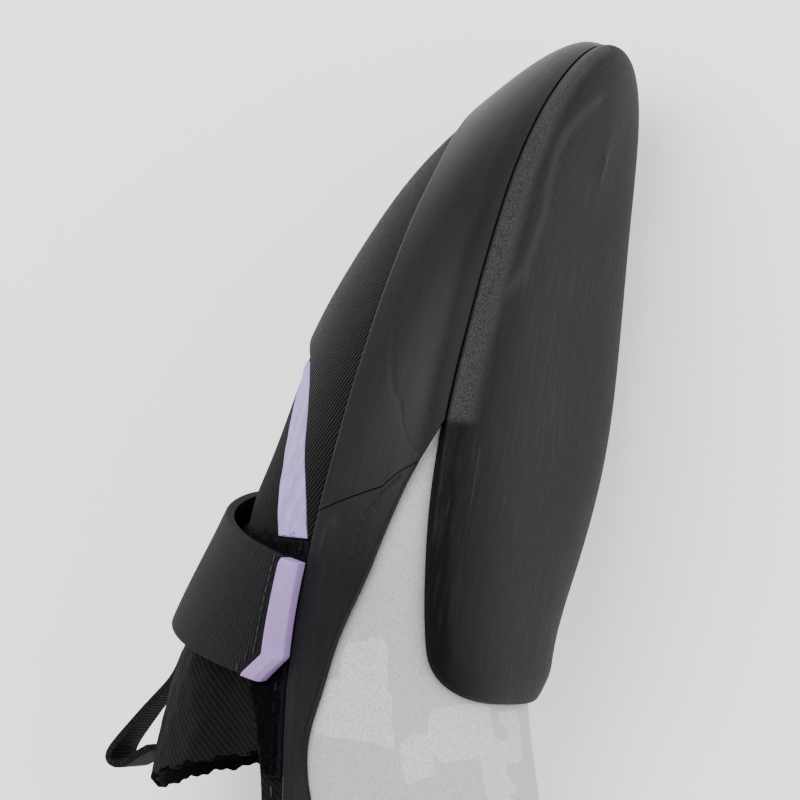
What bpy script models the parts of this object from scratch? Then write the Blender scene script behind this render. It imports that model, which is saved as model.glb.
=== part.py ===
"""Climbing shoe for the right foot, slip-lasted, with one strap, lying on its medial side.

The shoe is worked out in its own frame: x runs from the heel to the toe, y to the medial side and z up from the
floor that it would stand on. Every piece is a patch of one surface, the last, lifted off it by its own amount.
A place on the last is a station and a height. Stations run round the shoe: 0 at the back of the heel, forward
along the lateral side to TOE at the tip, and back along the medial side to LOOP. Heights run up a half section:
0 on the middle line of the sole, a half at the widest place and 1 on the ridge of the instep.
At the end the whole shoe is laid on its medial side, on the three places where it touches a floor.
"""

import bmesh
import bpy
import numpy as np
from mathutils import Vector

# Driving sizes, in metres.
LENGTH = 0.231
BALL_WIDTH = 0.082
HEEL_WIDTH = 0.058
INSTEP_HEIGHT = 0.086
ARCH_HEIGHT = 0.0135
UPPER_WALL = 0.0018
INSOLE_THICKNESS = 0.0015
OUTSOLE_THICKNESS = 0.0043
OUTSOLE_EDGE = 0.0020
BEVEL_WIDTH = 0.0060
RAND_THICKNESS = 0.0020
TOE_PATCH_THICKNESS = 0.0011
TRIM_THICKNESS = 0.0007
PILE_THICKNESS = 0.0018
TONGUE_THICKNESS = 0.0018
TONGUE_RISE = 0.0025
TONGUE_GAP = 0.0013
STRAP_WIDTH = 0.025
STRAP_THICKNESS = 0.0018
TAB_LENGTH = 0.0050
TAB_THICKNESS = 0.0034
TAB_SLOPE = 0.0008
PULL_LOOP_WIDTH = 0.0120
PULL_LOOP_THICKNESS = 0.0015
PULL_LOOP_REACH = 0.0235
PULL_LOOP_RISE = 0.0148
CLEARANCE = 0.0003
FLAT_DEPTH = 0.0006
MERGE = 0.00002
SHARP_ANGLE = 0.7

# Sections of the last from the heel to the toe, one row for each station. lateral and medial: the widest
# point of each half, x as a share of LENGTH, y of the section's width, z of INSTEP_HEIGHT. spine: x of the
# middle lines. sole and ridge: y and z of the bottom and top middle lines, the sole's z as a share of
# ARCH_HEIGHT. low and top: how square the lower and the upper half is. ball: 0 where the section takes its
# width from HEEL_WIDTH, 1 where it takes it from BALL_WIDTH.
SECTION_COLUMNS = (
    "lateral_x", "lateral_y", "lateral_z", "medial_x", "medial_y", "medial_z",
    "spine_x", "sole_y", "sole_z", "ridge_y", "ridge_z", "low", "top", "ball",
)
SECTIONS = np.array([
    (0.000, 0.000, 0.350, 0.000, 0.000, 0.350, 0.113, 0.000, 0.22, 0.000, 0.91, 2.6, 2.6, 0.00),
    (0.022, -0.293, 0.337, 0.022, 0.293, 0.337, 0.121, 0.000, 0.22, 0.000, 0.92, 2.6, 2.6, 0.00),
    (0.091, -0.466, 0.326, 0.091, 0.457, 0.326, 0.156, 0.000, 0.26, 0.000, 0.95, 2.6, 2.6, 0.00),
    (0.195, -0.517, 0.326, 0.195, 0.483, 0.349, 0.216, -0.017, 0.40, 0.000, 1.00, 2.6, 2.4, 0.00),
    (0.316, -0.484, 0.337, 0.307, 0.469, 0.395, 0.316, -0.045, 0.62, 0.000, 1.035, 2.6, 2.1, 0.25),
    (0.437, -0.486, 0.349, 0.429, 0.414, 0.419, 0.433, -0.043, 1.00, 0.000, 1.00, 2.8, 2.0, 0.50),
    (0.537, -0.512, 0.314, 0.537, 0.466, 0.372, 0.537, -0.026, 0.88, 0.013, 0.868, 3.0, 2.0, 0.80),
    (0.636, -0.488, 0.267, 0.641, 0.512, 0.302, 0.636, 0.012, 0.77, 0.049, 0.757, 3.4, 2.0, 1.00),
    (0.732, -0.433, 0.233, 0.749, 0.518, 0.252, 0.727, 0.037, 0.72, 0.098, 0.694, 3.5, 1.9, 1.00),
    (0.831, -0.311, 0.209, 0.861, 0.506, 0.212, 0.810, 0.098, 0.69, 0.159, 0.597, 3.5, 1.8, 1.00),
    (0.931, -0.085, 0.174, 0.965, 0.470, 0.169, 0.874, 0.159, 0.66, 0.195, 0.485, 3.5, 1.6, 1.00),
    (1.000, 0.268, 0.157, 1.000, 0.268, 0.157, 0.900, 0.183, 0.63, 0.207, 0.378, 3.5, 1.5, 1.00),
])
TOE = len(SECTIONS) - 1
LOOP = 2 * TOE
MIDDLE_LINE_END = 0.5
MIDDLE_LINE_HALF = 0.01
NORMAL_STEP = 0.02
NORMAL_RISE = 0.004

# Edges on the last: rows of station, counted from the heel on either side, and height.
SOLE_EDGE = (
    (0, 0.27), (4.8, 0.27), (5.6, 0.292), (6.3, 0.310), (9.3, 0.315), (9.7, 0.325), (10.5, 0.348),
    (11, 0.357),
)
RAND_TOP = (
    (0, 0.66), (1, 0.655), (2, 0.635), (3, 0.612), (4.4, 0.600), (5.6, 0.595), (7, 0.600), (8.1, 0.600),
    (9, 0.610), (9.65, 0.634), (10.16, 0.70), (10.6, 0.79), (11, 0.84),
)
RAND_FOOT = (
    (0, 0.0), (1.0, 0.0), (1.3, 0.05), (1.6, 0.12), (1.8, 0.17), (2.0, 0.23), (2.2, 0.275), (2.4, 0.315),
    (2.6, 0.36), (2.8, 0.42), (3.05, 0.47), (3.3, 0.50), (3.6, 0.537), (3.85, 0.557), (4.4, 0.572),
    (4.9, 0.550), (5.3, 0.533), (5.75, 0.509), (6.15, 0.474), (6.45, 0.437), (6.75, 0.395), (6.95, 0.362),
    (7.27, 0.318), (7.4, 0.30), (11, 0.30),
)
COLLAR = (
    (0, 0.76), (1, 0.745), (2, 0.69), (3, 0.652), (3.8, 0.638), (4.4, 0.645), (5, 0.675), (5.6, 0.73),
    (6.2, 0.79), (6.7, 0.89), (7.0, 1.0), (11, 1.0),
)
PATCH_TOP = (
    (6.1, 0.603), (6.55, 0.636), (6.94, 0.672), (7.34, 0.704), (7.6, 0.735), (7.8, 0.775), (8.0, 0.86),
    (8.2, 1.0), (11, 1.0),
)
STRIPE_TOP = ((6.1, 0.662), (6.53, 0.704), (6.84, 0.728), (7.34, 0.768), (7.7, 0.790), (7.8, 0.796))
PILE_TOP = ((4.1, 0.628), (4.4, 0.635), (5, 0.663), (5.6, 0.716), (6.2, 0.774))
TONGUE_EDGE = ((4.1, 0.60), (5, 0.63), (6, 0.71), (7.0, 0.83), (7.4, 0.90))

# Joints between pieces, in stations. The first is where the toe rand ends at the heel rand, at its middle
# height. TONGUE_CUT is how much shorter the tongue is at its edges than on the ridge, OUTSOLE_CORNER how
# much shorter the outsole is at its sides.
RAND_JOINT = 6.66
RAND_JOINT_SLANT = -0.50
TRIM_BACK = 6.16
TRIM_BACK_MEDIAL = 6.62
PILE_BACK = 4.20
STRIPE_FRONT = 7.76
TONGUE_BACK = 4.00
TONGUE_CUT = 0.42
TONGUE_FRONT = 7.40
TONGUE_LIFT_FROM = 5.10
TONGUE_DIVE = 6.16
TONGUE_DIVE_END = 6.62
TONGUE_FREE = 0.04
TONGUE_RAMP = 0.09
TONGUE_RISES_FROM = 0.70
TONGUE_RISES_OVER = 0.20
OUTSOLE_BACK = 4.83
OUTSOLE_CORNER = 0.50
OUTSOLE_CORNER_POWER = 3
INSOLE_BACK = 1.0
INSOLE_FRONT = 10.6
INSOLE_SIDE = 0.20
STRAP_ON_RIDGE = 5.95
STRAP_SWEEP = 0.52
STRAP_BEND = 0.15
STRAP_CLIMB = 0.60
PULL_LOOP_START = 5.05
PULL_LOOP_END = 4.32
SAME_STATION = 0.02

# Heights of the strap's two ends, and the share of it that its cut rear corner takes along and across.
STRAP_FOOT = 0.604
STRAP_REACH = 0.592
STRAP_CORNER = 0.075
STRAP_CORNER_WIDTH = 0.225

# The pull loop's middle line on its way from its foot, as shares of its reach and its rise, then how wide
# its foot is as a share of its width, and the share of its length in which it widens.
PULL_LOOP_SHARES = (
    (0.000, 0.000), (0.255, 0.170), (0.553, 0.555), (0.838, 0.905), (0.957, 1.000), (1.000, 0.945),
    (0.990, 0.810), (0.915, 0.640),
)
PULL_LOOP_FOOT_WIDTH = 0.35
PULL_LOOP_WIDENS_BY = 0.55

# About how far one station runs along the shoe, and how far a height of 1 runs up it, in metres.
STATION_LENGTH = LENGTH / 10
HEIGHT_LENGTH = 0.16

# Joints between curved layers are a little wider than CLEARANCE, because facets bridge a curve.
JOINT_GAP = 0.8 * CLEARANCE
EDGE_GAP = JOINT_GAP / HEIGHT_LENGTH
END_GAP = JOINT_GAP / STATION_LENGTH
STRAP_OVER_PILE = RAND_THICKNESS + 2 * CLEARANCE
TAB_SHARE = TAB_LENGTH / (HEIGHT_LENGTH * (1 - STRAP_REACH))

# Nodes of the grid that all the layers share, so that their facets lie parallel: stations counted from the
# heel on either side, and rows. A row is a height up to the widest place, above it a share of the way to
# the collar, and past 1 a share of the way on to the ridge.
STATIONS = np.array([
    0, 0.25, 0.5, 0.75, 1, 1.3, 1.6, 1.8, 2, 2.2, 2.4, 2.6, 2.8, 3.05, 3.3, 3.6, 3.85, 4.2, 4.83, 5.06,
    5.4, 5.78, 6.16, 6.62, 7, 7.4, 7.76, 7.9, 8, 8.1, 8.2, 8.65, 9.1, 9.5, 9.75, 10, 10.2, 10.4, 10.6,
    10.8, 11,
])
ROWS = np.array([0, 0.09, 0.17, 0.23, 0.275, 0.315, 0.36, 0.42, 0.5, 0.58, 0.66, 0.74, 0.82, 0.9, 0.96, 1])
THROAT_ROWS = np.array([1.2, 1.4, 1.6, 1.8, 2])

# Colours as sRGB hex, and roughness.
FINISHES = {
    "upper": ("B9B9BA", 0.90),
    "insole": ("8E8B86", 0.85),
    "outsole": ("262626", 0.62),
    "toe_rand": ("29292C", 0.55),
    "heel_rand": ("27272A", 0.55),
    "toe_patch": ("1E1E21", 0.45),
    "stripe_lateral": ("B7A9CE", 0.60),
    "stripe_medial": ("B7A9CE", 0.60),
    "pile_patch": ("17171A", 0.95),
    "strap": ("1C1C1F", 0.75),
    "pull_tab": ("B5A8CC", 0.50),
    "tongue": ("1A1A1C", 0.90),
    "pull_loop": ("1B1B1D", 0.85),
}


def closed_spline(values):
    """Cubic spline through rows one key apart that closes on itself; returns a function of the key."""
    count = len(values)
    bands = 4 * np.eye(count) + np.roll(np.eye(count), 1, 0) + np.roll(np.eye(count), -1, 0)
    second = 6 * (np.roll(values, -1, 0) - 2 * values + np.roll(values, 1, 0))
    bend = np.linalg.solve(bands, second)

    def at(key):
        row = np.floor(key).astype(int)
        part = (key - row)[..., None]
        rest = 1 - part
        here, after = row % count, (row + 1) % count
        line = rest * values[here] + part * values[after]
        return line + ((rest ** 3 - rest) * bend[here] + (part ** 3 - part) * bend[after]) / 6

    return at


def smooth_line(rows):
    """Smooth curve through rows of key and value; returns a function of the key, level past both ends."""
    keys, values = np.array(rows, float).T
    slopes = np.gradient(values, keys)

    def at(key):
        key = np.clip(key, keys[0], keys[-1])
        row = np.clip(np.searchsorted(keys, key, side="right") - 1, 0, len(keys) - 2)
        width = keys[row + 1] - keys[row]
        part = (key - keys[row]) / width
        rest = 1 - part
        ends = values[row] * rest ** 2 * (1 + 2 * part) + values[row + 1] * part ** 2 * (1 + 2 * rest)
        return ends + width * (slopes[row] * part * rest ** 2 - slopes[row + 1] * part ** 2 * rest)

    return at


def smooth_step(value):
    """0 below 0, 1 above 1, and a smooth rise between."""
    value = np.clip(value, 0, 1)
    return value * value * (3 - 2 * value)


def sections_in_metres():
    """The ring of widest points and the rows of the middle lines, in metres."""
    column = {name: SECTIONS[:, i] for i, name in enumerate(SECTION_COLUMNS)}
    width = HEEL_WIDTH + (BALL_WIDTH - HEEL_WIDTH) * column["ball"]
    sides = {}
    for side in ("lateral", "medial"):
        sides[side] = np.stack([
            column[side + "_x"] * LENGTH,
            column[side + "_y"] * width,
            column[side + "_z"] * INSTEP_HEIGHT,
        ], -1)
    spine = np.stack([
        column["spine_x"] * LENGTH,
        column["sole_y"] * width,
        column["sole_z"] * ARCH_HEIGHT,
        column["ridge_y"] * width,
        column["ridge_z"] * INSTEP_HEIGHT,
        column["low"],
        column["top"],
    ], -1)
    ring = np.vstack([sides["lateral"], sides["medial"][-2:0:-1]])
    return ring, np.vstack([spine, spine[-2:0:-1]])


RING_ROWS, SPINE_ROWS = sections_in_metres()
widest_at = closed_spline(RING_ROWS)
spine_at = closed_spline(SPINE_ROWS)


def last_point(station, height):
    """Point of the last. Each half section is a quarter of a squared-off ellipse below the widest point and
    another above it. A height below 0 or above 1 goes on across the middle line, to the other side."""
    station, height = np.broadcast_arrays(np.asarray(station, float), np.asarray(height, float))
    across = (height < 0) | (height > 1)
    height = np.where(height > 1, 2 - height, np.abs(height))
    station = np.where(across, LOOP - station, station)
    widest = widest_at(station)
    spine = spine_at(station)
    below = height <= 0.5
    square = np.where(below, spine[..., 5], spine[..., 6])
    sine, cosine = np.abs(np.sin(height * np.pi)), np.abs(np.cos(height * np.pi))
    radius = (sine ** square + cosine ** square) ** (-1 / square)
    out, up = sine * radius, cosine * radius
    middle_y = np.where(below, spine[..., 1], spine[..., 3])
    middle_z = np.where(below, spine[..., 2], spine[..., 4])
    return np.stack([
        spine[..., 0] + (widest[..., 0] - spine[..., 0]) * out,
        middle_y + (widest[..., 1] - middle_y) * out,
        widest[..., 2] + (middle_z - widest[..., 2]) * up,
    ], -1)


def raw_normal(station, height):
    """Cross product of the two central differences, pointing out of the last."""
    along = last_point(station + NORMAL_STEP, height) - last_point(station - NORMAL_STEP, height)
    upward = last_point(station, height + NORMAL_RISE) - last_point(station, height - NORMAL_RISE)
    return np.cross(along, upward)


def lifted(station, height, lift):
    """Points at the given lift off the last, in metres. Close to the four ends of the middle lines, where all
    stations meet, the normal is that of the middle line half a station away."""
    station, height, lift = np.broadcast_arrays(
        np.asarray(station, float), np.asarray(height, float), np.asarray(lift, float)
    )
    normal = raw_normal(station, height)
    nearest_end = np.round(station / TOE) * TOE
    beside = raw_normal(np.where(nearest_end == TOE, TOE - MIDDLE_LINE_END, MIDDLE_LINE_END), np.round(height))
    on_line = np.abs(height - np.round(height)) < MIDDLE_LINE_HALF
    near_end = (np.abs(station - nearest_end) < MIDDLE_LINE_END) & on_line
    normal = np.where(near_end[..., None], beside, normal)
    return last_point(station, height) + normal / np.linalg.norm(normal, axis=-1, keepdims=True) * lift[..., None]


def around(rows):
    """An edge as a function of the ring's station, from rows counted from the heel on either side."""
    side = smooth_line(rows)

    def at(station):
        station = np.mod(station, LOOP)
        return side(np.minimum(station, LOOP - station))

    return at


sole_edge = around(SOLE_EDGE)
rand_top = around(RAND_TOP)
rand_foot = around(RAND_FOOT)
collar = around(COLLAR)
patch_top = around(PATCH_TOP)
stripe_top = around(STRIPE_TOP)
pile_top = around(PILE_TOP)
tongue_edge = around(TONGUE_EDGE)


def between(stations, start, end):
    """The stations from start to end, with both ends added."""
    inside = (stations > start + SAME_STATION) & (stations < end - SAME_STATION)
    return np.concatenate([[start], stations[inside], [end]])


def ring_stations(start, end):
    """Stations from start to end along the ring, which may run on past LOOP."""
    ring = np.concatenate([STATIONS, (LOOP - STATIONS[::-1])[1:]])
    return between(np.concatenate([ring, ring[1:] + LOOP]), start, end)


def row_height(station, row):
    """Height of a row of the shared grid at a station."""
    top = np.minimum(collar(station), 1)
    flap = 0.5 + (row - 0.5) * (top - 0.5) / 0.5
    return np.where(row <= 0.5, row, np.where(row <= 1, flap, top + (row - 1) * (1 - top)))


def slab(inner, outer, closed=False):
    """Points and faces of a solid between two grids of points. Walls close its four borders, or the two long
    ones when closed. Where the piece folds onto itself across a middle line, both copies of a wall go."""
    rows, columns = inner.shape[:2]
    count = rows * columns
    points = np.vstack([inner.reshape(-1, 3), outer.reshape(-1, 3)])
    index = np.arange(count).reshape(rows, columns)
    if closed:
        index = np.vstack([index, index[:1]])

    def quads(a, b, c, d):
        return np.stack([a.ravel(), b.ravel(), c.ravel(), d.ravel()], -1)

    a, b, c, d = index[:-1, :-1], index[1:, :-1], index[1:, 1:], index[:-1, 1:]
    faces = [quads(a, b, c, d), quads(a, d, c, b) + count]
    for border in (index[:, 0], index[::-1, -1]):
        faces.append(quads(border[:-1], border[:-1] + count, border[1:] + count, border[1:]))
    if not closed:
        for border in (index[0, ::-1], index[-1]):
            faces.append(quads(border[:-1], border[:-1] + count, border[1:] + count, border[1:]))
    return points, np.vstack(faces)


def merged(points, faces):
    """A mesh of the slab with meeting points made one and doubled inner walls taken out."""
    mesh = bpy.data.meshes.new("slab")
    mesh.from_pydata(points.tolist(), [], faces.tolist())
    work = bmesh.new()
    work.from_mesh(mesh)
    twins = bmesh.ops.find_doubles(work, verts=work.verts, dist=MERGE)["targetmap"]
    seen = {}
    for face in work.faces:
        seen.setdefault(frozenset(twins.get(v, v).index for v in face.verts), []).append(face)
    doubled = [face for same in seen.values() if len(same) > 1 for face in same]
    bmesh.ops.delete(work, geom=doubled, context="FACES_ONLY")
    bmesh.ops.triangulate(work, faces=work.faces, quad_method="FIXED")
    bmesh.ops.weld_verts(work, targetmap=twins)
    bmesh.ops.delete(work, geom=[edge for edge in work.edges if not edge.link_faces], context="EDGES")
    bmesh.ops.delete(work, geom=[vertex for vertex in work.verts if not vertex.link_faces], context="VERTS")
    bmesh.ops.dissolve_degenerate(work, dist=MERGE, edges=work.edges)
    bmesh.ops.recalc_face_normals(work, faces=work.faces)
    work.to_mesh(mesh)
    work.free()
    return mesh


def band(start, end, low, high, slants=(0, 0)):
    """Station and height grids of a band on the shared grid, cut off at two stations and between two edges.
    Its ends may slant: a slant is how much further along the top of that end lies than its foot."""
    rows = ROWS[None, :]
    ends = []
    for joint, slant in ((start, slants[0]), (end, slants[1])):
        foot, top = low(joint), high(joint)
        share = (np.clip(row_height(joint, rows), foot, top) - foot) / (top - foot)
        ends.append(joint + (share - 0.5) * slant)
    reach = np.abs(slants).max() / 2
    stations = ring_stations(start - reach, end + reach)[:, None]
    station = np.clip(stations, ends[0], ends[1])
    return station, np.clip(row_height(station, rows), low(station), high(station))


def bridge(start, end, edge):
    """Station and height grids of a piece across the sole's middle line, on the shared grid. Stations run along
    the lateral side, and a height below 0 is a place on the medial side."""
    rows = np.concatenate([-ROWS[:0:-1], ROWS])[None, :]
    station = between(STATIONS, start, end)[:, None]
    return station, np.clip(rows, -edge(LOOP - station), edge(station))


def over_ridge(start, end, edge):
    """Station and height grids of a piece across the ridge, on the shared grid."""
    rows = np.concatenate([ROWS, THROAT_ROWS])[None, :]
    station = between(STATIONS, start, end)[:, None] + 0 * rows
    halves = []
    for ring in (station, LOOP - station):
        halves.append((ring, np.clip(row_height(ring, rows), edge(ring), 1)))
    return [np.hstack([lateral, medial[:, -2::-1]]) for lateral, medial in zip(*halves)]


def upper():
    """Hollow shell of one wall, closed under the foot and over the toes, open at the throat and the collar."""
    station = ring_stations(0, LOOP)[:-1, None]
    height = row_height(station, ROWS[None, :])
    return slab(lifted(station, height, -UPPER_WALL), lifted(station, height, 0), closed=True)


def insole():
    """Board on the floor of the shell."""
    station, height = bridge(INSOLE_BACK, INSOLE_FRONT, lambda ring: INSOLE_SIDE + 0 * ring)
    top = -UPPER_WALL - CLEARANCE
    return slab(lifted(station, height, top - INSOLE_THICKNESS), lifted(station, height, top))


def outsole():
    """Half sole from the toe to the arch, as thin as the rand at its ground edge, with a rounded back end."""
    station, height = bridge(OUTSOLE_BACK, TOE, lambda ring: sole_edge(ring) - EDGE_GAP)
    share = np.abs(height[:1]) / np.abs(height[0, [0, -1]]).max()
    power = OUTSOLE_CORNER_POWER
    back = OUTSOLE_BACK + OUTSOLE_CORNER * (1 - (1 - share ** power) ** (1 / power))
    station = np.maximum(station, back)
    edge = np.where(height < 0, sole_edge(LOOP - station), sole_edge(station)) - EDGE_GAP
    height = np.clip(height, -edge, edge)
    from_side = (edge - np.abs(height)) * HEIGHT_LENGTH
    from_back = (station - back) * STATION_LENGTH
    rise = np.sin(np.clip(np.minimum(from_side, from_back) / BEVEL_WIDTH, 0, 1) * np.pi / 2)
    outer = CLEARANCE + OUTSOLE_EDGE + (OUTSOLE_THICKNESS - OUTSOLE_EDGE) * rise
    return slab(lifted(station, height, CLEARANCE), lifted(station, height, outer))


def layer(place, thickness):
    """Solid of one thickness on the upper, from its grids of station and height."""
    station, height = place
    return slab(lifted(station, height, CLEARANCE), lifted(station, height, CLEARANCE + thickness))


def toe_rand():
    """Rubber band from the lateral joint round the toe to the medial joint."""
    return layer(band(
        RAND_JOINT + END_GAP,
        LOOP - RAND_JOINT - END_GAP,
        lambda ring: np.maximum(rand_foot(ring), sole_edge(ring)) + EDGE_GAP,
        lambda ring: rand_top(ring) - EDGE_GAP,
        (RAND_JOINT_SLANT, -RAND_JOINT_SLANT),
    ), RAND_THICKNESS)


def heel_rand():
    """Tension band from the medial joint round the heel to the lateral joint, which also closes under the heel."""
    return layer(band(
        LOOP - RAND_JOINT + END_GAP,
        LOOP + RAND_JOINT - END_GAP,
        lambda ring: np.maximum(rand_foot(ring), 0),
        lambda ring: rand_top(ring) - EDGE_GAP,
        (-RAND_JOINT_SLANT, RAND_JOINT_SLANT),
    ), RAND_THICKNESS)


def toe_patch():
    """Ribbed rubber over the toes, with a tail along each side of the throat."""
    return layer(band(
        TRIM_BACK + END_GAP,
        LOOP - TRIM_BACK_MEDIAL - END_GAP,
        lambda ring: rand_top(ring) + EDGE_GAP,
        lambda ring: np.minimum(patch_top(ring), 1) - np.where(patch_top(ring) < 1, EDGE_GAP, 0),
    ), TOE_PATCH_THICKNESS)


def stripe(start, end):
    """Trim between the toe patch and the throat, pointed at the front."""
    return layer(band(start, end, lambda ring: patch_top(ring) + EDGE_GAP, stripe_top), TRIM_THICKNESS)


def pile_patch():
    """Loop pile on the lateral flap, which the strap holds to."""
    return layer(band(
        PILE_BACK,
        TRIM_BACK - END_GAP,
        lambda ring: rand_top(ring) + EDGE_GAP,
        pile_top,
    ), PILE_THICKNESS)


def tongue_lift(station, height):
    """Lift of the tongue's outer face: under the flaps, flush in the throat, and standing up towards its end."""
    inside = smooth_step((height - collar(station) - TONGUE_FREE) / TONGUE_RAMP)
    from_heel = np.where(station > TOE, LOOP - station, station)
    inside = inside * np.clip((TONGUE_DIVE_END - from_heel) / (TONGUE_DIVE_END - TONGUE_DIVE), 0, 1)
    back = np.clip((TONGUE_LIFT_FROM - from_heel) / (TONGUE_LIFT_FROM - TONGUE_BACK), 0, 1)
    middle = smooth_step((height - TONGUE_RISES_FROM) / TONGUE_RISES_OVER)
    return (inside - 1) * (UPPER_WALL + TONGUE_GAP) + TONGUE_RISE * back ** 1.5 * middle


def tongue():
    """Knit tongue in the throat, from under the toe patch to the collar, cut shorter towards its edges."""
    station, height = over_ridge(TONGUE_BACK, TONGUE_FRONT, tongue_edge)
    back = TONGUE_BACK + TONGUE_CUT * (1 - height) / (1 - height[0].min())
    station = np.where(station < TOE, np.maximum(station, back), np.minimum(station, LOOP - back))
    outer = tongue_lift(station, height)
    return slab(lifted(station, height, outer - TONGUE_THICKNESS), lifted(station, height, outer))


def strap_place(along, across):
    """Ring station and height of a place on the strap. Along runs from -1 at its medial foot over the ridge at 0
    to 1 at its lateral end, across from -1 on its rear edge to 1 on its front edge. The strap runs straight over
    the medial side, bends on the ridge and slants back down the lateral side."""
    half = STRAP_WIDTH / 2 / STATION_LENGTH
    slant = (along + np.sqrt(along ** 2 + STRAP_BEND ** 2)) / 2
    station = STRAP_ON_RIDGE - STRAP_SWEEP * slant + half * across
    foot = np.where(along >= 0, STRAP_REACH, STRAP_FOOT)
    height = 1 - (1 - foot) * np.abs(along)
    return np.where(along >= 0, station, LOOP - station), height


def strap_lift(along):
    """Lift of the strap's underside: on the upper at its medial foot, and over the pile on the lateral side."""
    return CLEARANCE + (STRAP_OVER_PILE - CLEARANCE) * smooth_step((along + 1) / STRAP_CLIMB)


def strap_end(across):
    """Along value where the webbing ends: straight, with its rear corner cut."""
    corner = 2 * STRAP_CORNER_WIDTH
    return 1 - TAB_SHARE - STRAP_CORNER * np.clip((corner - 1 - across) / corner, 0, 1)


def strap():
    """Ribbed webbing from the medial side over the instep to the tab."""
    across = np.linspace(-1, 1, 6)[None, :]
    part = np.linspace(0, 1, 27)[:, None]
    along = -1 + (strap_end(across) + 1) * part
    station, height = strap_place(along, across)
    lift = strap_lift(along)
    return slab(lifted(station, height, lift), lifted(station, height, lift + STRAP_THICKNESS))


def pull_tab():
    """Moulded tab round the end of the strap, thinner towards its outer edge."""
    across = np.linspace(-1, 1, 6)[None, :]
    part = np.linspace(0, 1, 4)[:, None]
    gap = 2 * EDGE_GAP / (1 - STRAP_REACH)
    along = strap_end(across) + gap + (TAB_SHARE - gap) * part
    station, height = strap_place(along, across)
    lift = strap_lift(along)
    top = lift + TAB_THICKNESS - TAB_SLOPE * part ** 2
    return slab(lifted(station, height, lift), lifted(station, height, top))


def pull_loop_path(count):
    """Middle line of the webbing's inner face, in the shoe's middle plane: it leaves the tongue behind the strap,
    stands off it towards the heel, turns over and comes back down to the tongue, its other face down."""
    feet = np.array([PULL_LOOP_START, PULL_LOOP_END])
    rests = np.array([CLEARANCE, CLEARANCE + PULL_LOOP_THICKNESS])
    start, end = lifted(feet, np.ones(2), tongue_lift(feet, np.ones(2)) + rests)
    reach, rise = np.array(PULL_LOOP_SHARES).T
    x = np.append(start[0] - reach * PULL_LOOP_REACH, end[0])
    z = np.append(start[2] + rise * PULL_LOOP_RISE, end[2])
    keys = np.linspace(0, 1, len(x))
    at = np.linspace(0, 1, count)
    x, z = (smooth_line(np.stack([keys, values], -1))(at) for values in (x, z))
    return np.stack([x, np.full(count, start[1]), z], -1)


def pull_loop():
    """Webbing loop on the tongue, gathered at its foot behind the strap."""
    count = 30
    path = pull_loop_path(count)
    along = np.gradient(path, axis=0)
    along /= np.linalg.norm(along, axis=-1, keepdims=True)
    outward = np.cross(along, (0, 1, 0))
    outward *= np.sign(outward[0, 2])
    wide = smooth_step(np.linspace(0, 1, count) / PULL_LOOP_WIDENS_BY)
    width = PULL_LOOP_WIDTH * (PULL_LOOP_FOOT_WIDTH + (1 - PULL_LOOP_FOOT_WIDTH) * wide)
    across = np.linspace(-0.5, 0.5, 4)[None, :, None] * np.array((0, 1, 0)) * width[:, None, None]
    inner = path[:, None, :] + across
    return slab(inner, inner + outward[:, None, :] * PULL_LOOP_THICKNESS)


def rest_turn(points):
    """Rotation that lays the shoe on its medial side. The side's support is the facet of the points' hull that
    faces most to the medial side and has the middle of the points above it."""
    hull = bmesh.new()
    for point in points:
        hull.verts.new(point)
    bmesh.ops.convex_hull(hull, input=hull.verts)
    centre = Vector(points.mean(0))
    best = None
    for face in hull.faces:
        normal = face.normal
        if normal.dot(face.calc_center_median() - centre) < 0:
            normal = -normal
        foot = centre + normal * normal.dot(face.verts[0].co - centre)
        corners = [vertex.co for vertex in face.verts]
        turns = [
            (corners[(i + 1) % len(corners)] - corners[i]).cross(foot - corners[i]).dot(normal)
            for i in range(len(corners))
        ]
        inside = all(turn > 0 for turn in turns) or all(turn < 0 for turn in turns)
        if inside and (best is None or normal.y > best.y):
            best = normal.copy()
    hull.free()
    down = best if best is not None else Vector((0, 1, 0))
    forward = (Vector((1, 0, 0)) - down * down.x).normalized()
    up = -down
    side = up.cross(forward)
    return np.array([forward, side, up])


PIECES = {
    "upper": upper,
    "insole": insole,
    "outsole": outsole,
    "toe_rand": toe_rand,
    "heel_rand": heel_rand,
    "toe_patch": toe_patch,
    "stripe_lateral": lambda: stripe(TRIM_BACK + END_GAP, STRIPE_FRONT),
    "stripe_medial": lambda: stripe(LOOP - STRIPE_FRONT, LOOP - TRIM_BACK_MEDIAL - END_GAP),
    "pile_patch": pile_patch,
    "strap": strap,
    "pull_tab": pull_tab,
    "tongue": tongue,
    "pull_loop": pull_loop,
}


def linear(channel):
    """One sRGB channel, 0 to 1, turned to linear light."""
    return channel / 12.92 if channel <= 0.04045 else ((channel + 0.055) / 1.055) ** 2.4


def finish(name):
    """Principled material of a piece, from its colour and roughness."""
    colour, roughness = FINISHES[name]
    rgb = [linear(int(colour[i:i + 2], 16) / 255) for i in (0, 2, 4)]
    material = bpy.data.materials.new(name)
    material.use_nodes = True
    shader = material.node_tree.nodes["Principled BSDF"]
    shader.inputs["Base Color"].default_value = (*rgb, 1)
    shader.inputs["Roughness"].default_value = roughness
    shader.inputs["Metallic"].default_value = 0
    return material


def placed(points, turn, low, middle):
    """Points laid on the floor, with the deepest ones pressed flat."""
    laid = points @ turn.T - (middle[0], middle[1], low + FLAT_DEPTH)
    laid[:, 2] = np.maximum(laid[:, 2], 0)
    return laid


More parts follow.
